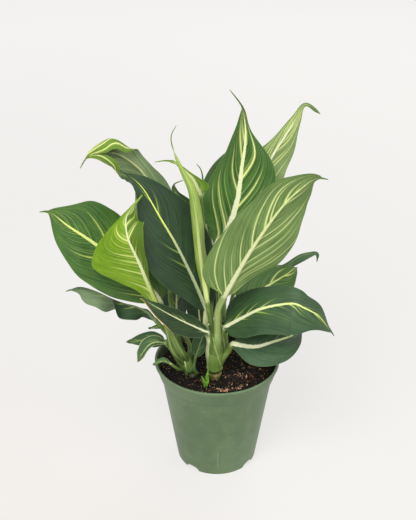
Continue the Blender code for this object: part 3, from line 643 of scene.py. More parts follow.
# -------------------------------------------------------------------------- leaf surfaces
def half_width(widths, s, tail):
    """The half-width through the given ones: round at the base, pointed at the tip."""
    count = len(widths)
    at = np.sqrt(np.concatenate([[0], (np.arange(count) + 1) / (count + 1), [1]]))
    value = np.concatenate([[0], widths, [0]]).astype(float)
    slope = np.gradient(value, at)
    slope[0] = value[1] / at[1] * 1.15
    slope[-1] = (value[-1] - value[-2]) / (at[-1] - at[-2])
    q = np.sqrt(np.clip(s / tail, 0, 1))
    i = np.clip(np.searchsorted(at, q, side="right") - 1, 0, count)
    span = at[i + 1] - at[i]
    t = (q - at[i]) / span
    rise = (t ** 3 - 2 * t ** 2 + t) * slope[i] + (t ** 3 - t ** 2) * slope[i + 1]
    level = (2 * t ** 3 - 3 * t ** 2 + 1) * value[i] + (3 * t ** 2 - 2 * t ** 3) * value[i + 1]
    return np.maximum(level + rise * span, 0)


def rib_frame(rib, face, s):
    """The middle of the blade, its upper side and its right."""
    line = smooth_path(rib, 400)
    run = np.linspace(0, 1, 400)
    along = unit(read_at(s, run, np.gradient(line, axis=0)))
    up = keyed(face, s)
    up = unit(up - (up * along).sum(axis=1, keepdims=True) * along)
    return read_at(s, run, line), up, np.cross(along, up)


def side_keys(keys, side):
    return keys[side] if isinstance(keys, dict) else keys


def ribbon_width(s, tail):
    """Half the width of the drip tip, which widens the last of the blade a little."""
    opening = eased_step((s - 0.86 * tail) / (0.14 * tail))
    tapering = np.clip((1 - s) / max(1 - tail, 0.001), 0, 1) ** 0.75
    return TAIL_HALF_WIDTH + (TAIL_WIDEST - TAIL_HALF_WIDTH) * opening * tapering


def ribbon_fold(s, tail):
    """The drip tip is folded along its middle, in degrees."""
    return 50 * eased_step((s - tail + 0.03) / 0.06)


def from_rib(slopes, width, fine, columns):
    """How far a half of the blade has gone at each column, from its slopes on the way."""
    steps = np.cumsum((slopes[:, 1:] + slopes[:, :-1]) / 2 / ARC_STEPS, axis=1)
    gone = np.concatenate([np.zeros((len(width), 1)), steps], axis=1) * width[:, None]
    return np.stack([np.interp(columns, fine, row) for row in gone])


def blade_surface(shape, s, columns):
    """Points from the left margin to the right one, their normals, their distances from
    the rib, and the rib's own middle, upper side and right."""
    middle, up, right = rib_frame(shape["rib"], shape["face"], s)
    tail = shape["tail"]
    fine = np.linspace(0, 1, ARC_STEPS + 1)
    halves = []
    for widths, side, sign in zip(shape["half"], ("left", "right"), (-1, 1)):
        width = half_width(widths, s, tail) + ribbon_width(s, tail)
        fold = np.radians(keyed(side_keys(shape["fold"], side), s) + ribbon_fold(s, tail))
        roll = np.radians(keyed(side_keys(shape["roll"], side), s))
        angle = fold[:, None] + roll[:, None] * fine
        out = from_rib(np.cos(angle), width, fine, columns)
        lift = from_rib(np.sin(angle), width, fine, columns)
        turn = fold[:, None] + roll[:, None] * columns
        halves.append((
            middle[:, None] + sign * out[..., None] * right[:, None]
            + lift[..., None] * up[:, None],
            np.cos(turn)[..., None] * up[:, None]
            - sign * np.sin(turn)[..., None] * right[:, None],
            sign * width[:, None] * columns,
        ))
    both, normal, across = [np.concatenate([left[:, ::-1], other[:, 1:]], axis=1)
                            for left, other in zip(*halves)]
    return both, unit(normal), across, middle, up, right


def rippled(surface, normal, s, v, width, wave, phase):
    """The blade with its margin rippled by wave, in millimetres, and its face swelling."""
    s = s[:, None]
    free = np.clip(width / RIPPLE_WIDTH, 0, 1)[:, None]
    ripple = np.sin(s * 21 + phase) * (v > 0) + np.sin(s * 24 + phase * 2) * (v < 0)
    lift = wave * ripple * np.abs(v) ** 3 * free
    swell = np.sin(s * 9 + v * 2.2 + phase) * np.abs(v) * 0.8
    return surface + normal * (lift + swell * free)[..., None]


def two_faces(surface, normal, across, v, stem, rib_half):
    """The upper and lower faces of the blade. The rib stands out, most of it below."""
    thick = BLADE_THICKNESS + (EDGE_THICKNESS - BLADE_THICKNESS) * np.abs(v)
    ridge = np.exp(-(across / (rib_half[:, None] * 0.9)) ** 2) * stem[:, None]
    top = surface + normal * (thick / 2 - ridge * 0.12)[..., None]
    return top, surface - normal * (thick / 2 + ridge)[..., None]


# --------------------------------------------------------------------- stalks and sheaths
def cane_at(name, height):
    """The middle, direction and radius of a cane at a height."""
    points, foot_radius, top_radius = CANES[name]
    line = smooth_path(points, 200)
    slope = unit(np.gradient(line, axis=0))
    index = int(np.argmin(abs(line[:, 2] - height)))
    share = index / (len(line) - 1)
    return line[index], slope[index], foot_radius + (top_radius - foot_radius) * share


def stalk_line(shape):
    """The stalk's middle: seated beside its cane or on its top, then up to the blade."""
    foot, radius = shape["foot"], shape["radius"]
    if len(foot) == 1:
        top, direction, _ = cane_at(foot[0], 1000)
        start = [top - direction * 2, top + direction * 6]
    else:
        name, height, side = foot
        outward = np.array([math.cos(math.radians(side)), math.sin(math.radians(side)), 0])
        start = []
        for z in (height, height + STALK_SEAT):
            middle, direction, cane_radius = cane_at(name, z)
            sideways = unit(outward - np.dot(outward, direction) * direction)
            start.append(middle + sideways * (cane_radius + radius * 0.5 + GAP))
    return np.array([*start, *shape["stalk"], shape["rib"][0]], float)


def swollen(name, height):
    """How much the sheaths thicken a cane at a height."""
    most, where, spread = CANE_SWELL.get(name, (0, 0, 1))
    return most * np.exp(-((height - where) / spread) ** 2)


def sheathed(shape, centre, far, number):
    """The middle and radius of a stalk's ring: around its cane at the foot, free above."""
    radius = shape["radius"]
    if len(shape["foot"]) == 1 or radius < SHEATH_LEAST:
        return centre, radius * (1 + 0.3 * math.exp(-far / 12))
    name = shape["foot"][0]
    middle, direction, cane_radius = cane_at(name, centre[2])
    outward = centre - middle
    outward = outward - np.dot(outward, direction) * direction
    away = float(np.linalg.norm(outward))
    layer = SHEATH_LAYER + SHEATH_LAYER * (number % 3)
    around = cane_radius + swollen(name, centre[2]) - layer
    free = radius * (1 + 0.35 * math.exp(-far / 25))
    hold = 1 - eased_step(far / SHEATH_REACH)
    outer = away + free + (around - away - free) * hold
    inner = away - free - (around + away - free) * hold
    return centre + outward / away * ((outer + inner) / 2 - away), (outer - inner) / 2


def stalk_ring(centre, high, sideways, size, angle):
    """A round ring with a groove along its upper side."""
    groove = 1 - 0.22 * np.exp(-((angle - math.pi / 2) / 0.45) ** 2)
    return (centre + size * (groove * np.cos(angle))[:, None] * sideways
            + size * (groove * np.sin(angle))[:, None] * high)


# ----------------------------------------------------------------------- the leaves' meshes
def blade_stations(shape):
    """The shares of the length and of the half-width at which the blade has points: closer
    together at both ends of the blade, beside the rib and at the margin."""
    rings, points = DETAIL[shape["size"]]
    tail = shape["tail"]
    share = np.linspace(0, 1, rings)
    share = 0.45 * share + 0.55 * (0.5 - 0.5 * np.cos(np.pi * share))
    tip = tail + (1 - tail) * np.linspace(0, 1, TAIL_RINGS + 1)[1:]
    columns = np.linspace(0, 1, points) ** 1.5
    columns = np.concatenate([columns[:-1] * 0.985, [0.985, 1.0]])
    return np.concatenate([share * tail, tip]), columns


def ring_facts(s, v, side, x, y, rib_half, margin):
    """What a ring's points carry: the shares of the length and of the half-width, 1 on the
    upper side and -1 on the lower, then in millimetres the distance from the rib and along
    it, the rib's half-width and the distance from the margin."""
    count = len(side)
    return np.stack([np.broadcast_to(fact, count)
                     for fact in (s, v, side, x, y, rib_half, margin)], axis=1)


def stalk_rings(shape, number, up, right, angle, side):
    """The rings of the stalk from its foot to the blade, what their points carry, and the
    stalk's length."""
    path = stalk_line(shape)
    line = smooth_path(path, max(6, int(path_length(path) / STALK_STEP)))
    reach = path_length(line)
    frames = carried_frames(line[::-1], up, right)[::-1]
    rings, facts = [], []
    for k in range(len(line) - 1):
        far = reach * k / (len(line) - 1)
        centre, size = sheathed(shape, line[k], far, number)
        rings.append(stalk_ring(centre, *frames[k], size, angle))
        facts.append(ring_facts(0, 0, side, (angle - math.pi / 2) * size, far - reach,
                                shape["radius"], NO_MARGIN))
    return rings, facts, reach


def build_leaf(name, shape, number):
    """A thin closed blade on its stalk, with the measures its finish reads."""
    looks = LOOKS[name]
    tail = shape["tail"]
    s, columns = blade_stations(shape)
    surface, normal, across, middle, up, right = blade_surface(shape, s, columns)
    v = np.concatenate([-columns[::-1], columns[1:]])
    length = path_length(smooth_path(shape["rib"], 200))
    width = np.abs(across).max(axis=1)
    stem = shape["radius"] * np.clip(1 - s / tail, 0, 1) ** 0.75
    rib_half = np.maximum(stem, RIB_LEAST)
    surface = rippled(surface, normal, s, v, width, looks["wave"], number * 1.7)
    top, bottom = two_faces(surface, normal, across, v, stem, rib_half)

    count = 2 * len(v)
    angle = math.pi - math.pi / count - np.arange(count) * 2 * math.pi / count
    side = np.repeat([1.0, -1.0], len(v))
    rings, facts, reach = stalk_rings(shape, number, up[0], right[0], angle, side)
    opened = eased_step(s / (0.035 * tail))
    there_and_back = np.concatenate([v, v[::-1]])
    for k in range(len(s)):
        flat = np.concatenate([top[k], bottom[k][::-1]])
        start = stalk_ring(middle[k], up[k], right[k], rib_half[k], angle)
        rings.append(start * (1 - opened[k]) + flat * opened[k])
        x = np.concatenate([across[k], across[k][::-1]])
        margin = (1 - np.abs(there_and_back)) * width[k] + NO_MARGIN * (1 - opened[k])
        facts.append(ring_facts(s[k], there_and_back, side, x, s[k] * length, rib_half[k],
                                margin))

    facts = np.concatenate(facts)
    finish = LeafFinish(name, looks, length, tail, number)
    thing = new_piece(name.replace("leaf_", "foliage_"), np.concatenate(rings),
                      ring_faces(len(rings), count), finish.finished(shape["foot"][0], reach))
    mark(thing.data, "blade", facts[:, 0:3])
    mark(thing.data, "span", facts[:, 3:6])
    mark(thing.data, "margin", facts[:, 6], "FLOAT")
    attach(thing, BODY)
    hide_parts(name)


# ---------------------------------------------------------------------------- leaf finishes
def stem_edges(finish, colour):
    """The broad cream edge on the left of the front cane's sheaths, and the thin seam that
    slants across their front, with a lighter green beyond it. Places are in metres."""
    x, y, z = finish.parts(finish.place())
    low = 1 - z.rise(0.194, 0.204)
    leaning = x - z * 0.045
    edge = (1 - leaning.rise(-0.0184, -0.0172)) * low * (0.35 + z.rise(0.158, 0.185) * 0.65)
    shade = finish.grain(finish.vector(x, y, z * 0.08), 500.0)
    colour = finish.mix(edge * (0.7 + shade * 0.5).least(1), colour, (212, 216, 166))
    beyond_seam = x - (0.192 - z) * 0.243 + 0.0047
    front = (1 - y.rise(-0.030, -0.027)) * low
    beyond = beyond_seam.rise(-0.0002, 0.0006) * front
    colour = finish.mix(beyond * 0.3, colour, (134, 160, 74))
    seam = (1 - abs(beyond_seam).rise(0.0003, 0.0009)) * front
    return finish.mix(seam * 0.7, colour, (184, 200, 124))


class LeafFinish(Finish):
    """A leaf's material, made from the measures that its mesh carries."""

    def __init__(self, name, looks, length, tail, number):
        super().__init__(name, Specular_IOR_Level=looks["sheen"])
        self.looks = looks
        self.tail = tail
        self.seed = looks.get("seed", number * LEAF_DRAW)
        self.u, self.v, side = self.parts(self.measure("blade"))
        self.x, self.y, self.rib_half = self.parts(self.measure("span"))
        self.edge = self.measure("margin", "Fac")
        self.upper = side.rise(-0.2, 0.2)
        self.right = self.v.above(0)
        self.out = abs(self.v)
        # origin is the place where a vein leaves the rib, and is the same all along it.
        inward = (1 - self.out * looks["curl"]).most(0.03)
        bend = looks["sweep"] / looks["curl"]
        self.origin = self.u + inward.math("LOGARITHM", math.e) * bend
        half = (abs(self.x) + self.edge).most(1.0)
        slope = looks["sweep"] / (inward * half)
        self.steep = (slope * slope + length ** -2) ** 0.5

    def along_veins(self, between, outwards, scale, detail, rough=0.5):
        """Noise drawn out along the veins: how fast it changes between them and outwards."""
        return self.grain(self.vector(self.origin * between, self.out * outwards, self.seed),
                          scale, detail, rough)

    def over_blade(self, wide, long, scale, detail, rough=0.5, shift=0):
        """Noise over the distances from the rib and along it."""
        return self.grain(self.vector(self.x * wide, self.y * long, self.seed + shift),
                          scale, detail, rough)

    def streaks(self, count, width, reach, seed):
        """Lines along the veins: how plainly each shows, its soft surround, its own draw
        from 0 to 1, and the distance from the nearest as a share of their spacing."""
        settings = {"voronoi_dimensions": "1D"}
        row = self.origin * count + self.right * RIGHT_DRAW + seed
        inputs = {"W": row, "Scale": 1.0, "Randomness": 0.8}
        near = self.add("TexVoronoi", settings, inputs, "Distance")
        chance = self.add("TexVoronoi", settings, inputs, "Color")
        chance = self.add("SeparateColor", None, {0: chance}, "Red")
        away = near / (self.steep * count)
        far = reach * (0.4 + 0.7 * chance)
        thin = width * (0.5 + 0.6 * chance) * (1 - self.out / far).most(0) + 0.12
        line = 1 - away.rise(thin * 0.6, thin)
        glow = 1 - away.rise(thin, thin * 2.4 + 0.5)
        fade = 1 - self.out.rise(far - 0.35, far)
        return line * fade, glow * fade, chance, near

    def veins(self):
        """The cream streaks, their soft surround, the fine threads and the pleats."""
        looks = self.looks
        vein, glow, chance, _ = self.streaks(looks["count"], looks["vein_width"],
                                             looks["reach"], self.seed)
        shown = chance.rise(looks["sparse"], looks["sparse"] + 0.2)
        near_tip = self.u.rise(self.tail - 0.2, self.tail - 0.05)
        shown = shown * (1 - near_tip * looks["tip_fade"])
        shown = shown * (1 - (1 - self.right) * looks["left_fade"])
        ragged = (0.55 + self.over_blade(0.5, 0.12, 1.0, 2.0) * 0.9).least(1)
        thread, _, odds, pleat = self.streaks(looks["count"] * 4, 0.35, 0.8,
                                              self.seed + THREAD_DRAW)
        thread = thread * odds.rise(0.35, 0.9) * looks["fine"]
        return vein * shown * ragged, glow * shown, thread, pleat

    def streaked(self, greens, lines, glow, strength, softness):
        """A side of the blade: its greens under the cream of the streaks."""
        cream = self.looks["vein"]
        greens = self.mix(glow * strength * softness, greens, cream)
        return self.mix((lines * strength).least(1), greens, cream)

    def on_rib(self):
        """1 on the rib, whose edges are uneven, and 0 beside it and on the drip tip."""
        teeth = self.over_blade(0.15, 0.45, 1.0, 3.0, 0.6)
        band = self.rib_half * self.looks["rib_band"] * (0.6 + teeth * 0.8)
        near = 1 - abs(self.x).rise(band * 0.75, band * 1.2)
        return near * (1 - self.u.rise(self.tail - 0.1, self.tail))

    def margin(self, colour):
        """The blade's colour with its thin edge."""
        looks = self.looks
        edge = looks["margin"]
        if looks["burnt"]:
            scorched = self.u.rise(0.45, 0.6) * (1 - self.right)
            edge = self.mix(scorched, edge, looks["burnt"])
        rim = 1 - self.edge.rise(looks["margin_width"] * 0.4, looks["margin_width"])
        return self.mix(rim * 0.8, colour, edge)

    def stalk(self, cane, reach):
        """The streaked stalk with its pale hems, and painted shade at the foot of its sheath."""
        looks = self.looks
        streak = self.over_blade(0.4, 0.02, 3.0, 2.0)
        colour = self.mix(streak.rise(0.42, 0.72) * 0.8, looks["stalk"], looks["stalk_streak"])
        hem = 1 - abs(abs(self.x) - 2.4).rise(0.35, 0.9)
        colour = self.mix(hem * (1 - self.y.rise(-34, -12)) * 0.4, colour, HEM)
        # painted shade: the stalk darkened towards the foot of its sheath
        foot_shade = (1 - self.y.rise(14 - reach, 40 - reach)) * 0.8
        if cane == "cane_front":
            return stem_edges(self, self.mix(foot_shade, colour, FRONT_FOOT_SHADE))
        return self.mix(foot_shade, colour, DARK_FOOT)

    def finished(self, cane, reach):
        """Two greens, cream streaks, a thin edge and the rib, then the stalk below them."""
        looks = self.looks
        vein, glow, thread, pleat = self.veins()
        lines = self.along_veins(130, 5, 1.0, 2.0, 0.6)
        drift = self.along_veins(11, 0.8, 1.6, 3.0)
        fleck = self.along_veins(70, 4, 1.5, 3.0, 0.6)
        patch = self.over_blade(0.035, 0.035, 1.0, 3.0, shift=PATCH_DRAW)
        tone = drift * 0.45 + patch * 0.35 + fleck * 0.55 + lines * 0.45
        tone = tone + (0.25 - pleat) * (0.3 * looks["pleats"]) - 0.075
        shade = tone.rise(0.62, 0.98)

        top = self.mix(shade, looks["deep"], looks["light"])
        # painted shade: the right half of the blade darkened, where it folds away from the light
        if looks["right_painted_shade"]:
            top = self.mix(self.right * 0.8, top, looks["right_painted_shade"])
        top = self.streaked(top, vein + thread, glow, looks["strength"], 0.35)
        below = self.mix(shade, looks["under"], looks["under_light"])
        below = self.streaked(below, vein + thread * 0.5, glow, looks["under_vein"], 0.3)
        colour = self.mix(self.upper, below, top)
        if looks["tip_dark"]:
            colour = self.mix(self.u.rise(*looks["tip_from"]) * 0.85, colour, looks["tip_dark"])
        on_rib = self.on_rib()
        rib = self.mix(self.u.rise(*looks["rib_turn"]), looks["rib"], looks["rib_tip"])
        colour = self.mix(on_rib, self.margin(colour), rib)
        colour = self.mix(1 - self.y.rise(-6, 6), colour, self.stalk(cane, reach))

        quilt = pleat * (0.4 + self.upper * 0.6) * (1 - on_rib) * looks["pleats"]
        relief = quilt * 1.6 + lines * 0.5 + fleck * 0.5 + drift * 0.5 + vein * 0.3 + on_rib
        rough = looks["gloss"] + (1 - self.upper) * 0.14 + fleck * 0.08
        return self.cover(colour, rough, relief, 0.5, 0.0006)


# --------------------------------------------------------------------------------- the pot
def eased(corners):
    """A profile of radius and height whose corners are rounded by their third number."""
    points = []
    for index, (radius, height, ease) in enumerate(corners):
        here = np.array([radius, height], float)
        if not ease or index in (0, len(corners) - 1):
            points.append(here)
            continue
        before = np.array(corners[index - 1][:2], float)
        after = np.array(corners[index + 1][:2], float)
        start = here + unit(before - here) * ease
        end = here + unit(after - here) * ease
        for t in np.linspace(0, 1, 5):
            points.append(start * (1 - t) ** 2 + here * 2 * t * (1 - t) + end * t ** 2)
    return points


def turned(name, profile, sides, material):
    """A profile turned around the upright axis."""
    mesh = bpy.data.meshes.new(name)
    points = [(radius * MM, 0, height * MM) for radius, height in profile]
    mesh.from_pydata(points, [(k, k + 1) for k in range(len(points) - 1)], [])
    mesh.materials.append(material)
    thing = linked(name, mesh)
    screw = thing.modifiers.new("turn", "SCREW")
    screw.axis = "Z"
    screw.steps = sides
    screw.render_steps = sides
    screw.use_merge_vertices = True
    screw.merge_threshold = 0.00001
    return thing


def notch_cutter(number):
    """A block with an arched top that reaches through the foot of the wall."""
    turn = math.radians(-90 + NOTCH_TURN + number * 360 / NOTCH_COUNT)
    radius = NOTCH_WIDTH / 2
    rise = NOTCH_HEIGHT - NOTCH_SHOULDER
    arch = [(-radius - 1.5, -1.0), (-radius - 0.8, 0.2), (-radius, NOTCH_SHOULDER)]
    for k in range(1, NOTCH_ARCH_STEPS):
        angle = math.pi * (1 - k / NOTCH_ARCH_STEPS)
        arch.append((radius * math.cos(angle), NOTCH_SHOULDER + rise * math.sin(angle)))
    arch += [(radius, NOTCH_SHOULDER), (radius + 0.8, 0.2), (radius + 1.5, -1.0)]
    outward = np.array([math.cos(turn), math.sin(turn), 0])
    sideways = np.array([-math.sin(turn), math.cos(turn), 0])
    points = []
    for reach in (NOTCH_INNER_RADIUS, POT_BASE_RADIUS + 12):
        for a, z in arch:
            points.append(outward * reach + sideways * a + np.array([0, 0, z]))
    size = len(arch)
    faces = [tuple(range(size)), tuple(range(2 * size - 1, size - 1, -1))]
    for k in range(size):
        j = (k + 1) % size
        faces.append((j, k, k + size, j + size))
    mesh = bpy.data.meshes.new(f"notch_{number}")
    mesh.from_pydata([tuple(p * MM) for p in points], [], faces)
    return linked(mesh.name, mesh)


def apply_modifiers(thing, sharp):
    """Makes the object's modifiers into its mesh, sharp where faces turn by more degrees."""
    bpy.context.view_layer.update()
    graph = bpy.context.evaluated_depsgraph_get()
    mesh = bpy.data.meshes.new_from_object(thing.evaluated_get(graph))
    thing.modifiers.clear()
    thing.data = mesh
    mesh.shade_smooth()
    mesh.set_sharp_from_angle(angle=math.radians(sharp))


def build_pot():
    corners = [
        (0, POT_FLOOR, 0), (*INNER_WALL[0], 1.5), (*INNER_WALL[1], 0.8), (*INNER_WALL[2], 0.8),
        (*INNER_WALL[3], 0.8), (POT_RIM_RADIUS - POT_WALL - 0.6, POT_HEIGHT, 0.7),
        (POT_RIM_RADIUS, POT_HEIGHT, 0.7), (POT_RIM_RADIUS, POT_HEIGHT - 3.4, 0.5),
        (POT_RIM_RADIUS - 1, POT_HEIGHT - 4.2, 0.5), (BAND_FOOT_RADIUS, BAND_FOOT, 0.5),
        (BAND_FOOT_RADIUS - BAND_STEP, BAND_FOOT - 0.4, 0.5), (POT_BASE_RADIUS + 0.9, 1.2, 0.8),
        (POT_BASE_RADIUS, 0, 0.4), (POT_BASE_RADIUS - POT_WALL, 0, 0.4),
        (POT_BASE_RADIUS - POT_WALL + 0.6, POT_BASE_RISE, 1.0), (0, POT_BASE_RISE, 0),
    ]
    pot = turned("nursery_pot", eased(corners), POT_SIDES, pot_finish())
    cutters = [notch_cutter(number) for number in range(NOTCH_COUNT)]
    for cutter in cutters:
        change = pot.modifiers.new(cutter.name, "BOOLEAN")
        change.operation = "DIFFERENCE"
        change.solver = "EXACT"
        change.object = cutter
    apply_modifiers(pot, 34)
    mark_inside(pot.data)
    for cutter in cutters:
        bpy.data.objects.remove(cutter, do_unlink=True)
    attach(pot, BODY)
    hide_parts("pot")


def mark_inside(mesh):
    """1 on the points of the pot's inner wall, for the painted shade there and the dust that
    clings there.
    """
    outer_heights = (0, 121.6, 122.4, 138, 142)
    outer_radii = (48.6, 68.0, 70.1, 75.0, 76.0)
    inside = []
    for point in mesh.vertices:
        x, y, z = point.co / MM
        wall = float(np.interp(z, outer_heights, outer_radii))
        inside.append(1.0 if z > POT_BASE_RISE + 1 and math.hypot(x, y) < wall - 1.0 else 0.0)
    mark(mesh, "inside", inside, "FLOAT")


def pot_finish():
    """Satin sage plastic, pebbled on the band, with a mould mark, scuffs and soil dust, painted
    shade on the inner wall and a painted highlight on the lip.
    """
    finish = Finish("sage plastic", Specular_IOR_Level=0.75)
    place = finish.place()
    x, y, z = finish.parts(place)
    soft = finish.grain(place, 14.0, 3.0)
    cloud = finish.grain(place, 60.0, 4.0, 0.6)
    colour = finish.mix((soft * 0.55 + cloud * 0.45).rise(0.36, 0.64), (71, 99, 56),
                        (89, 116, 73))
    # painted highlight: a lighter line round the lip, where the light catches the rim's top edge
    lip = z.rise(0.1400, 0.1418)
    colour = finish.mix(lip * 0.35, colour, (128, 150, 118))
    scuff = finish.grain(finish.vector(x, y, z * 7), 90.0, 3.0, 0.7)
    scuff = scuff.rise(0.61, 0.68) * finish.grain(place, 20.0).rise(0.45, 0.6)
    colour = finish.mix(scuff * 0.35, colour, (146, 168, 140))
    inside = finish.measure("inside", "Fac")
    # painted shade: the inner wall darkened below the lip, as in the shadow of the leaves
    colour = finish.mix(inside * 0.5 * (1 - z.rise(0.137, 0.141)), colour, (44, 62, 38))
    dust = finish.grain(place, 220.0, 4.0, 0.7).rise(0.42, 0.58) * (1 - z.rise(0.133, 0.140))
    colour = finish.mix(inside * dust * 0.85, colour, (36, 29, 20))
    mould = (1 - abs(x - 0.001).rise(0.0003, 0.0009)) * (1 - y.above(0))
    mould = mould * z.rise(0.012, 0.016) * (1 - z.rise(0.036, 0.046))
    colour = finish.mix(mould * 0.35, colour, (136, 160, 130))
    band = z.rise(0.1225, 0.1245)
    pebble = finish.grain(place, 900.0)
    orange_peel = finish.grain(place, 260.0)
    relief = pebble * band * 0.8 + orange_peel * 0.35 + mould * 2
    rough = 0.44 + cloud * 0.08 + band * 0.05 + scuff * 0.1
    return finish.cover(colour, rough, relief, 0.25, 0.0004)


# -------------------------------------------------------------------------------- the soil
def ground_height(x, y):
    """How high the soil lies at a place, in mm: crumbly, and lower beside the wall."""
    far = math.hypot(x, y) / SOIL_RADIUS
    height = SOIL_LEVEL + 1.2 - 2.0 * max(0, far - 0.8) / 0.2
    for lift, scale, layer in ((2.4, 0.05, 3), (1.6, 0.16, 7), (0.9, 0.45, 1), (0.5, 1.1, 9)):
        height += lift * noise.noise(Vector((x * scale, y * scale, layer)))
    return height


def soil_edge(height):
    """The radius of the soil against the pot's inner wall at a height."""
    radii, heights = zip(*INNER_WALL)
    return float(np.interp(height, heights, radii)) - 0.2


def build_soil():
    """The crumbly top, in rings from the middle to the wall, then the sides and the base."""
    rings = []
    for share in np.linspace(0.012, 1, SOIL_RINGS) ** 0.9:
        ring = []
        for k in range(SOIL_SIDES):
            angle = 2 * math.pi * k / SOIL_SIDES
            x = SOIL_RADIUS * share * math.cos(angle)
            y = SOIL_RADIUS * share * math.sin(angle)
            z = ground_height(x, y)
            limit = soil_edge(z)
            far = math.hypot(x, y)
            if far > limit:
                x, y = x * limit / far, y * limit / far
            ring.append((x, y, z))
        rings.append(ring)
    for z in (112, 60, POT_FLOOR + 0.2):
        limit = soil_edge(z)
        rings.append([(limit * math.cos(2 * math.pi * k / SOIL_SIDES),
                       limit * math.sin(2 * math.pi * k / SOIL_SIDES), z)
                      for k in range(SOIL_SIDES)])
    points = [point for ring in rings for point in ring]
    # The rings run downwards, so the faces turn over to look outwards.
    faces = [face[:1] + face[:0:-1] for face in ring_faces(len(rings), SOIL_SIDES)]
    soil = new_piece("potting_mix", points, faces, soil_finish())
    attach(soil, BODY)
    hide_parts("soil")


def soil_finish():
    finish = Finish("potting mix", Specular_IOR_Level=0.25)
    place = finish.place()
    crumb = finish.grain(place, 420.0, 5.0, 0.7)
    patch = finish.grain(place, 90.0, 3.0)
    colour = finish.mix(crumb.rise(0.42, 0.75), (8, 7, 6), (38, 30, 20))
    colour = finish.mix(patch.rise(0.5, 0.7) * 0.4, colour, (30, 22, 15))
    return finish.cover(colour, 0.9, crumb, 0.9, 0.0012)


def chip_points(rng, size):
    """An angular splinter: a cloud of points squeezed flat and long, turned anyhow."""
    cloud = rng.uniform(-1, 1, (9, 3))
    cloud = unit(cloud) * rng.uniform(0.75, 1.0, (9, 1))
    cloud *= size / 2 * np.array([1.0, rng.uniform(0.4, 0.75), rng.uniform(0.22, 0.5)])
    turn = rng.uniform(0, 2 * math.pi)
    tip = rng.normal(0, 0.35, 2)
    cos, sin = math.cos(turn), math.sin(turn)
    cloud = cloud @ np.array([[cos, sin, 0], [-sin, cos, 0], [0, 0, 1]])
    cloud[:, 2] += cloud[:, 0] * tip[0] + cloud[:, 1] * tip[1]
    return cloud


def build_chips():
    """The loose chips: one piece for each kind, some of it thrown on its heaps."""
    rng = np.random.RandomState(CHIP_SEED)
    for name, count, sizes, light, dark in CHIP_KINDS:
        chips = bmesh.new()
        heaps = CHIP_HEAPS.get(name)
        for _ in range(count):
            far = SOIL_RADIUS * 0.965 * math.sqrt(rng.uniform(0, 1))
            angle = rng.uniform(0, 2 * math.pi)
            if heaps and rng.uniform() < HEAPED_SHARE:
                near, beyond, start, end = heaps[rng.randint(len(heaps))]
                far = SOIL_RADIUS * rng.uniform(near, beyond)
                angle = math.radians(rng.uniform(start, end))
            size = rng.uniform(*sizes)
            x, y = far * math.cos(angle), far * math.sin(angle)
            centre = np.array([x, y, ground_height(x, y) + size * 0.06])
            points = chip_points(rng, size) + centre
            verts = [chips.verts.new(tuple(p * MM)) for p in points]
            made = bmesh.ops.convex_hull(chips, input=verts)
            loose = [v for v in made["geom_interior"] if isinstance(v, bmesh.types.BMVert)]
            bmesh.ops.delete(chips, geom=loose, context="VERTS")
        mesh = bpy.data.meshes.new(name)
        chips.normal_update()
        chips.to_mesh(mesh)
        chips.free()
        mesh.materials.append(chip_finish(name, light, dark))
        thing = linked(name, mesh)
        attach(thing, BODY)


def chip_finish(name, light, dark):
    finish = Finish(name, Specular_IOR_Level=0.3)
    place = finish.place()
    x, y, z = finish.parts(place)
    fibre = finish.grain(finish.vector(x, y * 0.35, z), 700.0, 4.0, 0.65)
    patch = finish.grain(place, 130.0)
    colour = finish.mix((fibre * 0.5 + patch * 0.5).rise(0.38, 0.62), dark, light)
    return finish.cover(colour, 0.8, fibre, 0.6, 0.0006)


# ------------------------------------------------------------------- the canes and the shoot
def tube(name, line, radii, material):
    """A closed tube along a line, with a radius for each point of each ring."""
    sides = radii.shape[1]
    along = unit(np.gradient(line, axis=0))
    first = unit(np.cross(along[0], (0, 1, 0)))
    frames = carried_frames(line, np.cross(along[0], first), first)
    angle = np.arange(sides) * 2 * math.pi / sides
    rings = []
    for centre, (up, right), radius in zip(line, frames, radii):
        rings.append(centre + (radius * np.cos(angle))[:, None] * right
                     + (radius * np.sin(angle))[:, None] * up)
    return new_piece(name, np.concatenate(rings), ring_faces(len(rings), sides), material)


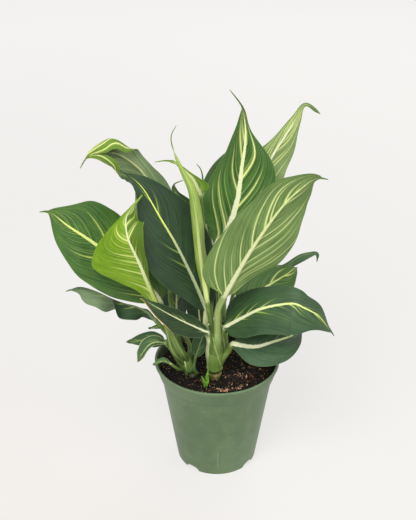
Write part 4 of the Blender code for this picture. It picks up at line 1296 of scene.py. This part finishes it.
def cane_finish(name, knob_top, knob_dark, knob_light):
    """Green sheaths with whitish edges, over a yellowish brown knob at the foot, with painted
    shade towards the foot of the left and back canes, on the sheaths' lower rim and in the dark
    line under their lip.
    """
    finish = Finish(name, Specular_IOR_Level=0.42)
    x, y, z = finish.parts(finish.place())
    wide, thin, height = finish.parts(finish.measure("seam"))
    fine = finish.grain(finish.vector(x, y, z * 0.06), 420.0, 3.0)
    broad = finish.grain(finish.vector(x, y, z * 0.15), 120.0)
    colour = finish.mix((fine * 0.6 + broad * 0.6).rise(0.42, 0.78), (84, 116, 42),
                        (132, 158, 84))
    colour = finish.mix(height.rise(knob_top, knob_top + 14) * 0.25, (112, 142, 66), colour)
    pale = (1 - wide.rise(0.75, 1.05)) * (0.6 + fine * 0.6).least(1)
    colour = finish.mix(pale, colour, (212, 216, 164))
    line = 1 - thin.rise(0.7, 1.1)
    colour = finish.mix(line * 0.8, colour, (178, 198, 120))
    if name == "cane_front":
        colour = stem_edges(finish, colour)
    else:
        # painted shade towards the foot of the cane
        low = 1 - height.rise(knob_top, knob_top + 16)
        colour = finish.mix(low * 0.6, colour, DARK_FOOT)
    speck = finish.grain(finish.place(), 900.0)
    # painted shade: a darker band on the sheaths' lower rim just above the knob
    rim_shade = (1 - height.rise(knob_top + 3, knob_top + 5)) * (0.35 + speck * 0.6)
    colour = finish.mix(rim_shade, colour, (74, 92, 56))
    knob = finish.mix((speck * 0.5 + broad * 0.6).rise(0.4, 0.7), knob_dark, knob_light)
    ring = finish.grain(finish.vector(x * 0.1, y * 0.1, z), 700.0, 1.0)
    knob = finish.mix(ring.rise(0.55, 0.66) * 0.45, knob, (70, 64, 36))
    at_knob = 1 - height.rise(knob_top - 0.6, knob_top + 0.4)
    colour = finish.mix(at_knob, colour, knob)
    # painted shadow: the dark line under the sheaths' lip, where they meet the knob
    lip = 1 - abs(height - knob_top).rise(0.3, 1.2)
    colour = finish.mix(lip * 0.75, colour, (44, 50, 24))
    relief = fine * 0.5 + line * 0.5 + pale * 0.4 + at_knob * (ring * 0.9 + speck * 0.5)
    return finish.cover(colour, 0.4 + fine * 0.12, relief, 0.45, 0.0006)


def cane_radii(name, height, knob_top):
    """A cane's radius in each ring: a bulging knob, a collar over it, swelling sheaths and
    a rounded top. Then how far each ring is above the knob, from 0 to 1."""
    _, foot_radius, top_radius = CANES[name]
    radii = foot_radius + (top_radius - foot_radius) * np.linspace(0, 1, CANE_RINGS)
    above = np.clip((height - knob_top) / 1.6, 0, 1)
    bulge = 1.7 * np.exp(-((height - knob_top + 5.5) / 3.8) ** 2)
    collar = 0.5 * np.exp(-((height - knob_top - 3) / 3.0) ** 2)
    radii = radii * (0.74 + 0.26 * above) + bulge * (1 - above)
    radii = radii + collar * above + swollen(name, height)
    radii[-3:] *= (0.95, 0.82, 0.55)
    return radii, above


def build_canes():
    for name, (points, _, _) in CANES.items():
        line = smooth_path(points, CANE_RINGS)
        height = line[:, 2]
        knob_top = KNOBS[name][0]
        radii, above = [values[:, None] for values in cane_radii(name, height, knob_top)]
        share = np.clip((height - knob_top) / (height[-1] - knob_top), 0, 1)[:, None]
        round_front = np.arange(CANE_SIDES) * 360 / CANE_SIDES - 90
        grown = np.repeat(radii, CANE_SIDES, axis=1)
        facts = []
        for top, foot, top_band, foot_band in SEAMS[name]:
            turn = (round_front - (foot + (top - foot) * share) + 180) % 360 - 180
            away = np.radians(turn) * radii
            grown = grown + np.where(away > 0, np.exp(-away / 6.0), 0) * 0.55 * above
            band = foot_band + (top_band - foot_band) * share
            facts.append(np.where(away > -0.4, abs(away) / band, 9.0) + 9 * (1 - above))
        facts.append(np.repeat(height[:, None], CANE_SIDES, axis=1))
        thing = tube(name.replace("cane_", "stem_"), line, grown,
                     cane_finish(name, *KNOBS[name]))
        mark(thing.data, "seam", np.stack(facts, axis=-1).reshape(-1, 3))
        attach(thing, BODY)
        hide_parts(name)


def build_shoot():
    """A tuft of three bright young blades that stand close together."""
    finish = Finish("green shoot", Specular_IOR_Level=0.4)
    streak = finish.grain(finish.place(), 300.0)
    colour = finish.mix(streak.rise(0.35, 0.65), (64, 108, 18), (112, 158, 44))
    finish.cover(colour, 0.4, streak, 0.2, 0.0004)
    flat = 1 - 0.45 * abs(np.sin(np.arange(SHOOT_SIDES) * 2 * math.pi / SHOOT_SIDES))
    share = np.linspace(0, 1, SHOOT_RINGS)
    for name, points, size in SHOOTS:
        radii = np.interp(share, (0, 0.45, 0.7, 1), (1.0, 1.3, size, 0.2))
        thing = tube(name, smooth_path(points, SHOOT_RINGS), radii[:, None] * flat,
                     finish.material)
        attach(thing, BODY)
        if name == "green_shoot":
            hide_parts("shoot_bright")


# ------------------------------------------------------------------------ room and camera
def build_camera():
    data = bpy.data.cameras.new("camera")
    data.sensor_width = 36.0
    data.lens = CAMERA_LENS
    camera = linked("camera", data)
    camera.location = CAMERA_PLACE
    camera.rotation_euler = (math.radians(CAMERA_TILT), 0, 0)
    bpy.context.scene.camera = camera


def build_lights():
    for name, (place, aim, power) in LIGHTS.items():
        data = bpy.data.lights.new(name, "AREA")
        data.shape = "DISK"
        data.size = LIGHT_SIZE
        data.energy = power
        lamp = linked(name, data)
        lamp.location = place
        facing = Vector((0, 0, aim)) - Vector(place)
        lamp.rotation_euler = facing.to_track_quat("-Z", "Y").to_euler()


def build_floor():
    """A pale floor that glows a little, brighter far off, and warm in front on the left."""
    finish = Finish("pale floor", Roughness=0.9, Specular_IOR_Level=0.0,
                    Emission_Strength=0.66)
    place = finish.place()
    colour = finish.mix(finish.grain(place, 1.2), (124, 122, 120), (130, 128, 126))
    x, y, _ = finish.parts(place)
    away = (x * x + y * y) ** 0.5
    warm = (1 - (x * 0.8 + y).rise(-0.32, 0.06)) * (1 - away.rise(0.6, 2.2))
    glow = finish.mix(away.rise(0.3, 2.8), (1.01, 0.998, 0.982, 1), (1.18, 1.17, 1.155, 1))
    glow = finish.mix(warm * 0.9, glow, (0.98, 0.94, 0.915, 1))
    glow = finish.mix(away.rise(4.0, 14.0), glow, (0.43, 0.425, 0.42, 1))
    finish.feed({"Base Color": colour, "Emission Color": glow})
    corners = [(x * FLOOR_REACH, y * FLOOR_REACH, 0)
               for x, y in ((-1, -1), (1, -1), (1, 1), (-1, 1))]
    floor = new_piece("floor", corners, [(0, 1, 2, 3)], finish.material)


def build_world():
    """Even white light from all round, and colours shown as they are."""
    world = bpy.data.worlds.new("studio")
    world.use_nodes = True
    sky = world.node_tree.nodes["Background"]
    sky.inputs["Color"].default_value = (1.0, 0.99, 0.975, 1)
    sky.inputs["Strength"].default_value = 0.36
    bpy.context.scene.world = world
    view = bpy.context.scene.view_settings
    view.view_transform = "Standard"
    view.look = "None"
    view.exposure = 0.0
    view.gamma = 1.0


build_camera()
build_world()
build_floor()
build_lights()
build_pot()
build_soil()
build_chips()
build_canes()
build_shoot()
for number, (name, shape) in enumerate(LEAVES.items()):
    build_leaf(name, shape, number)

bpy.context.view_layer.update()
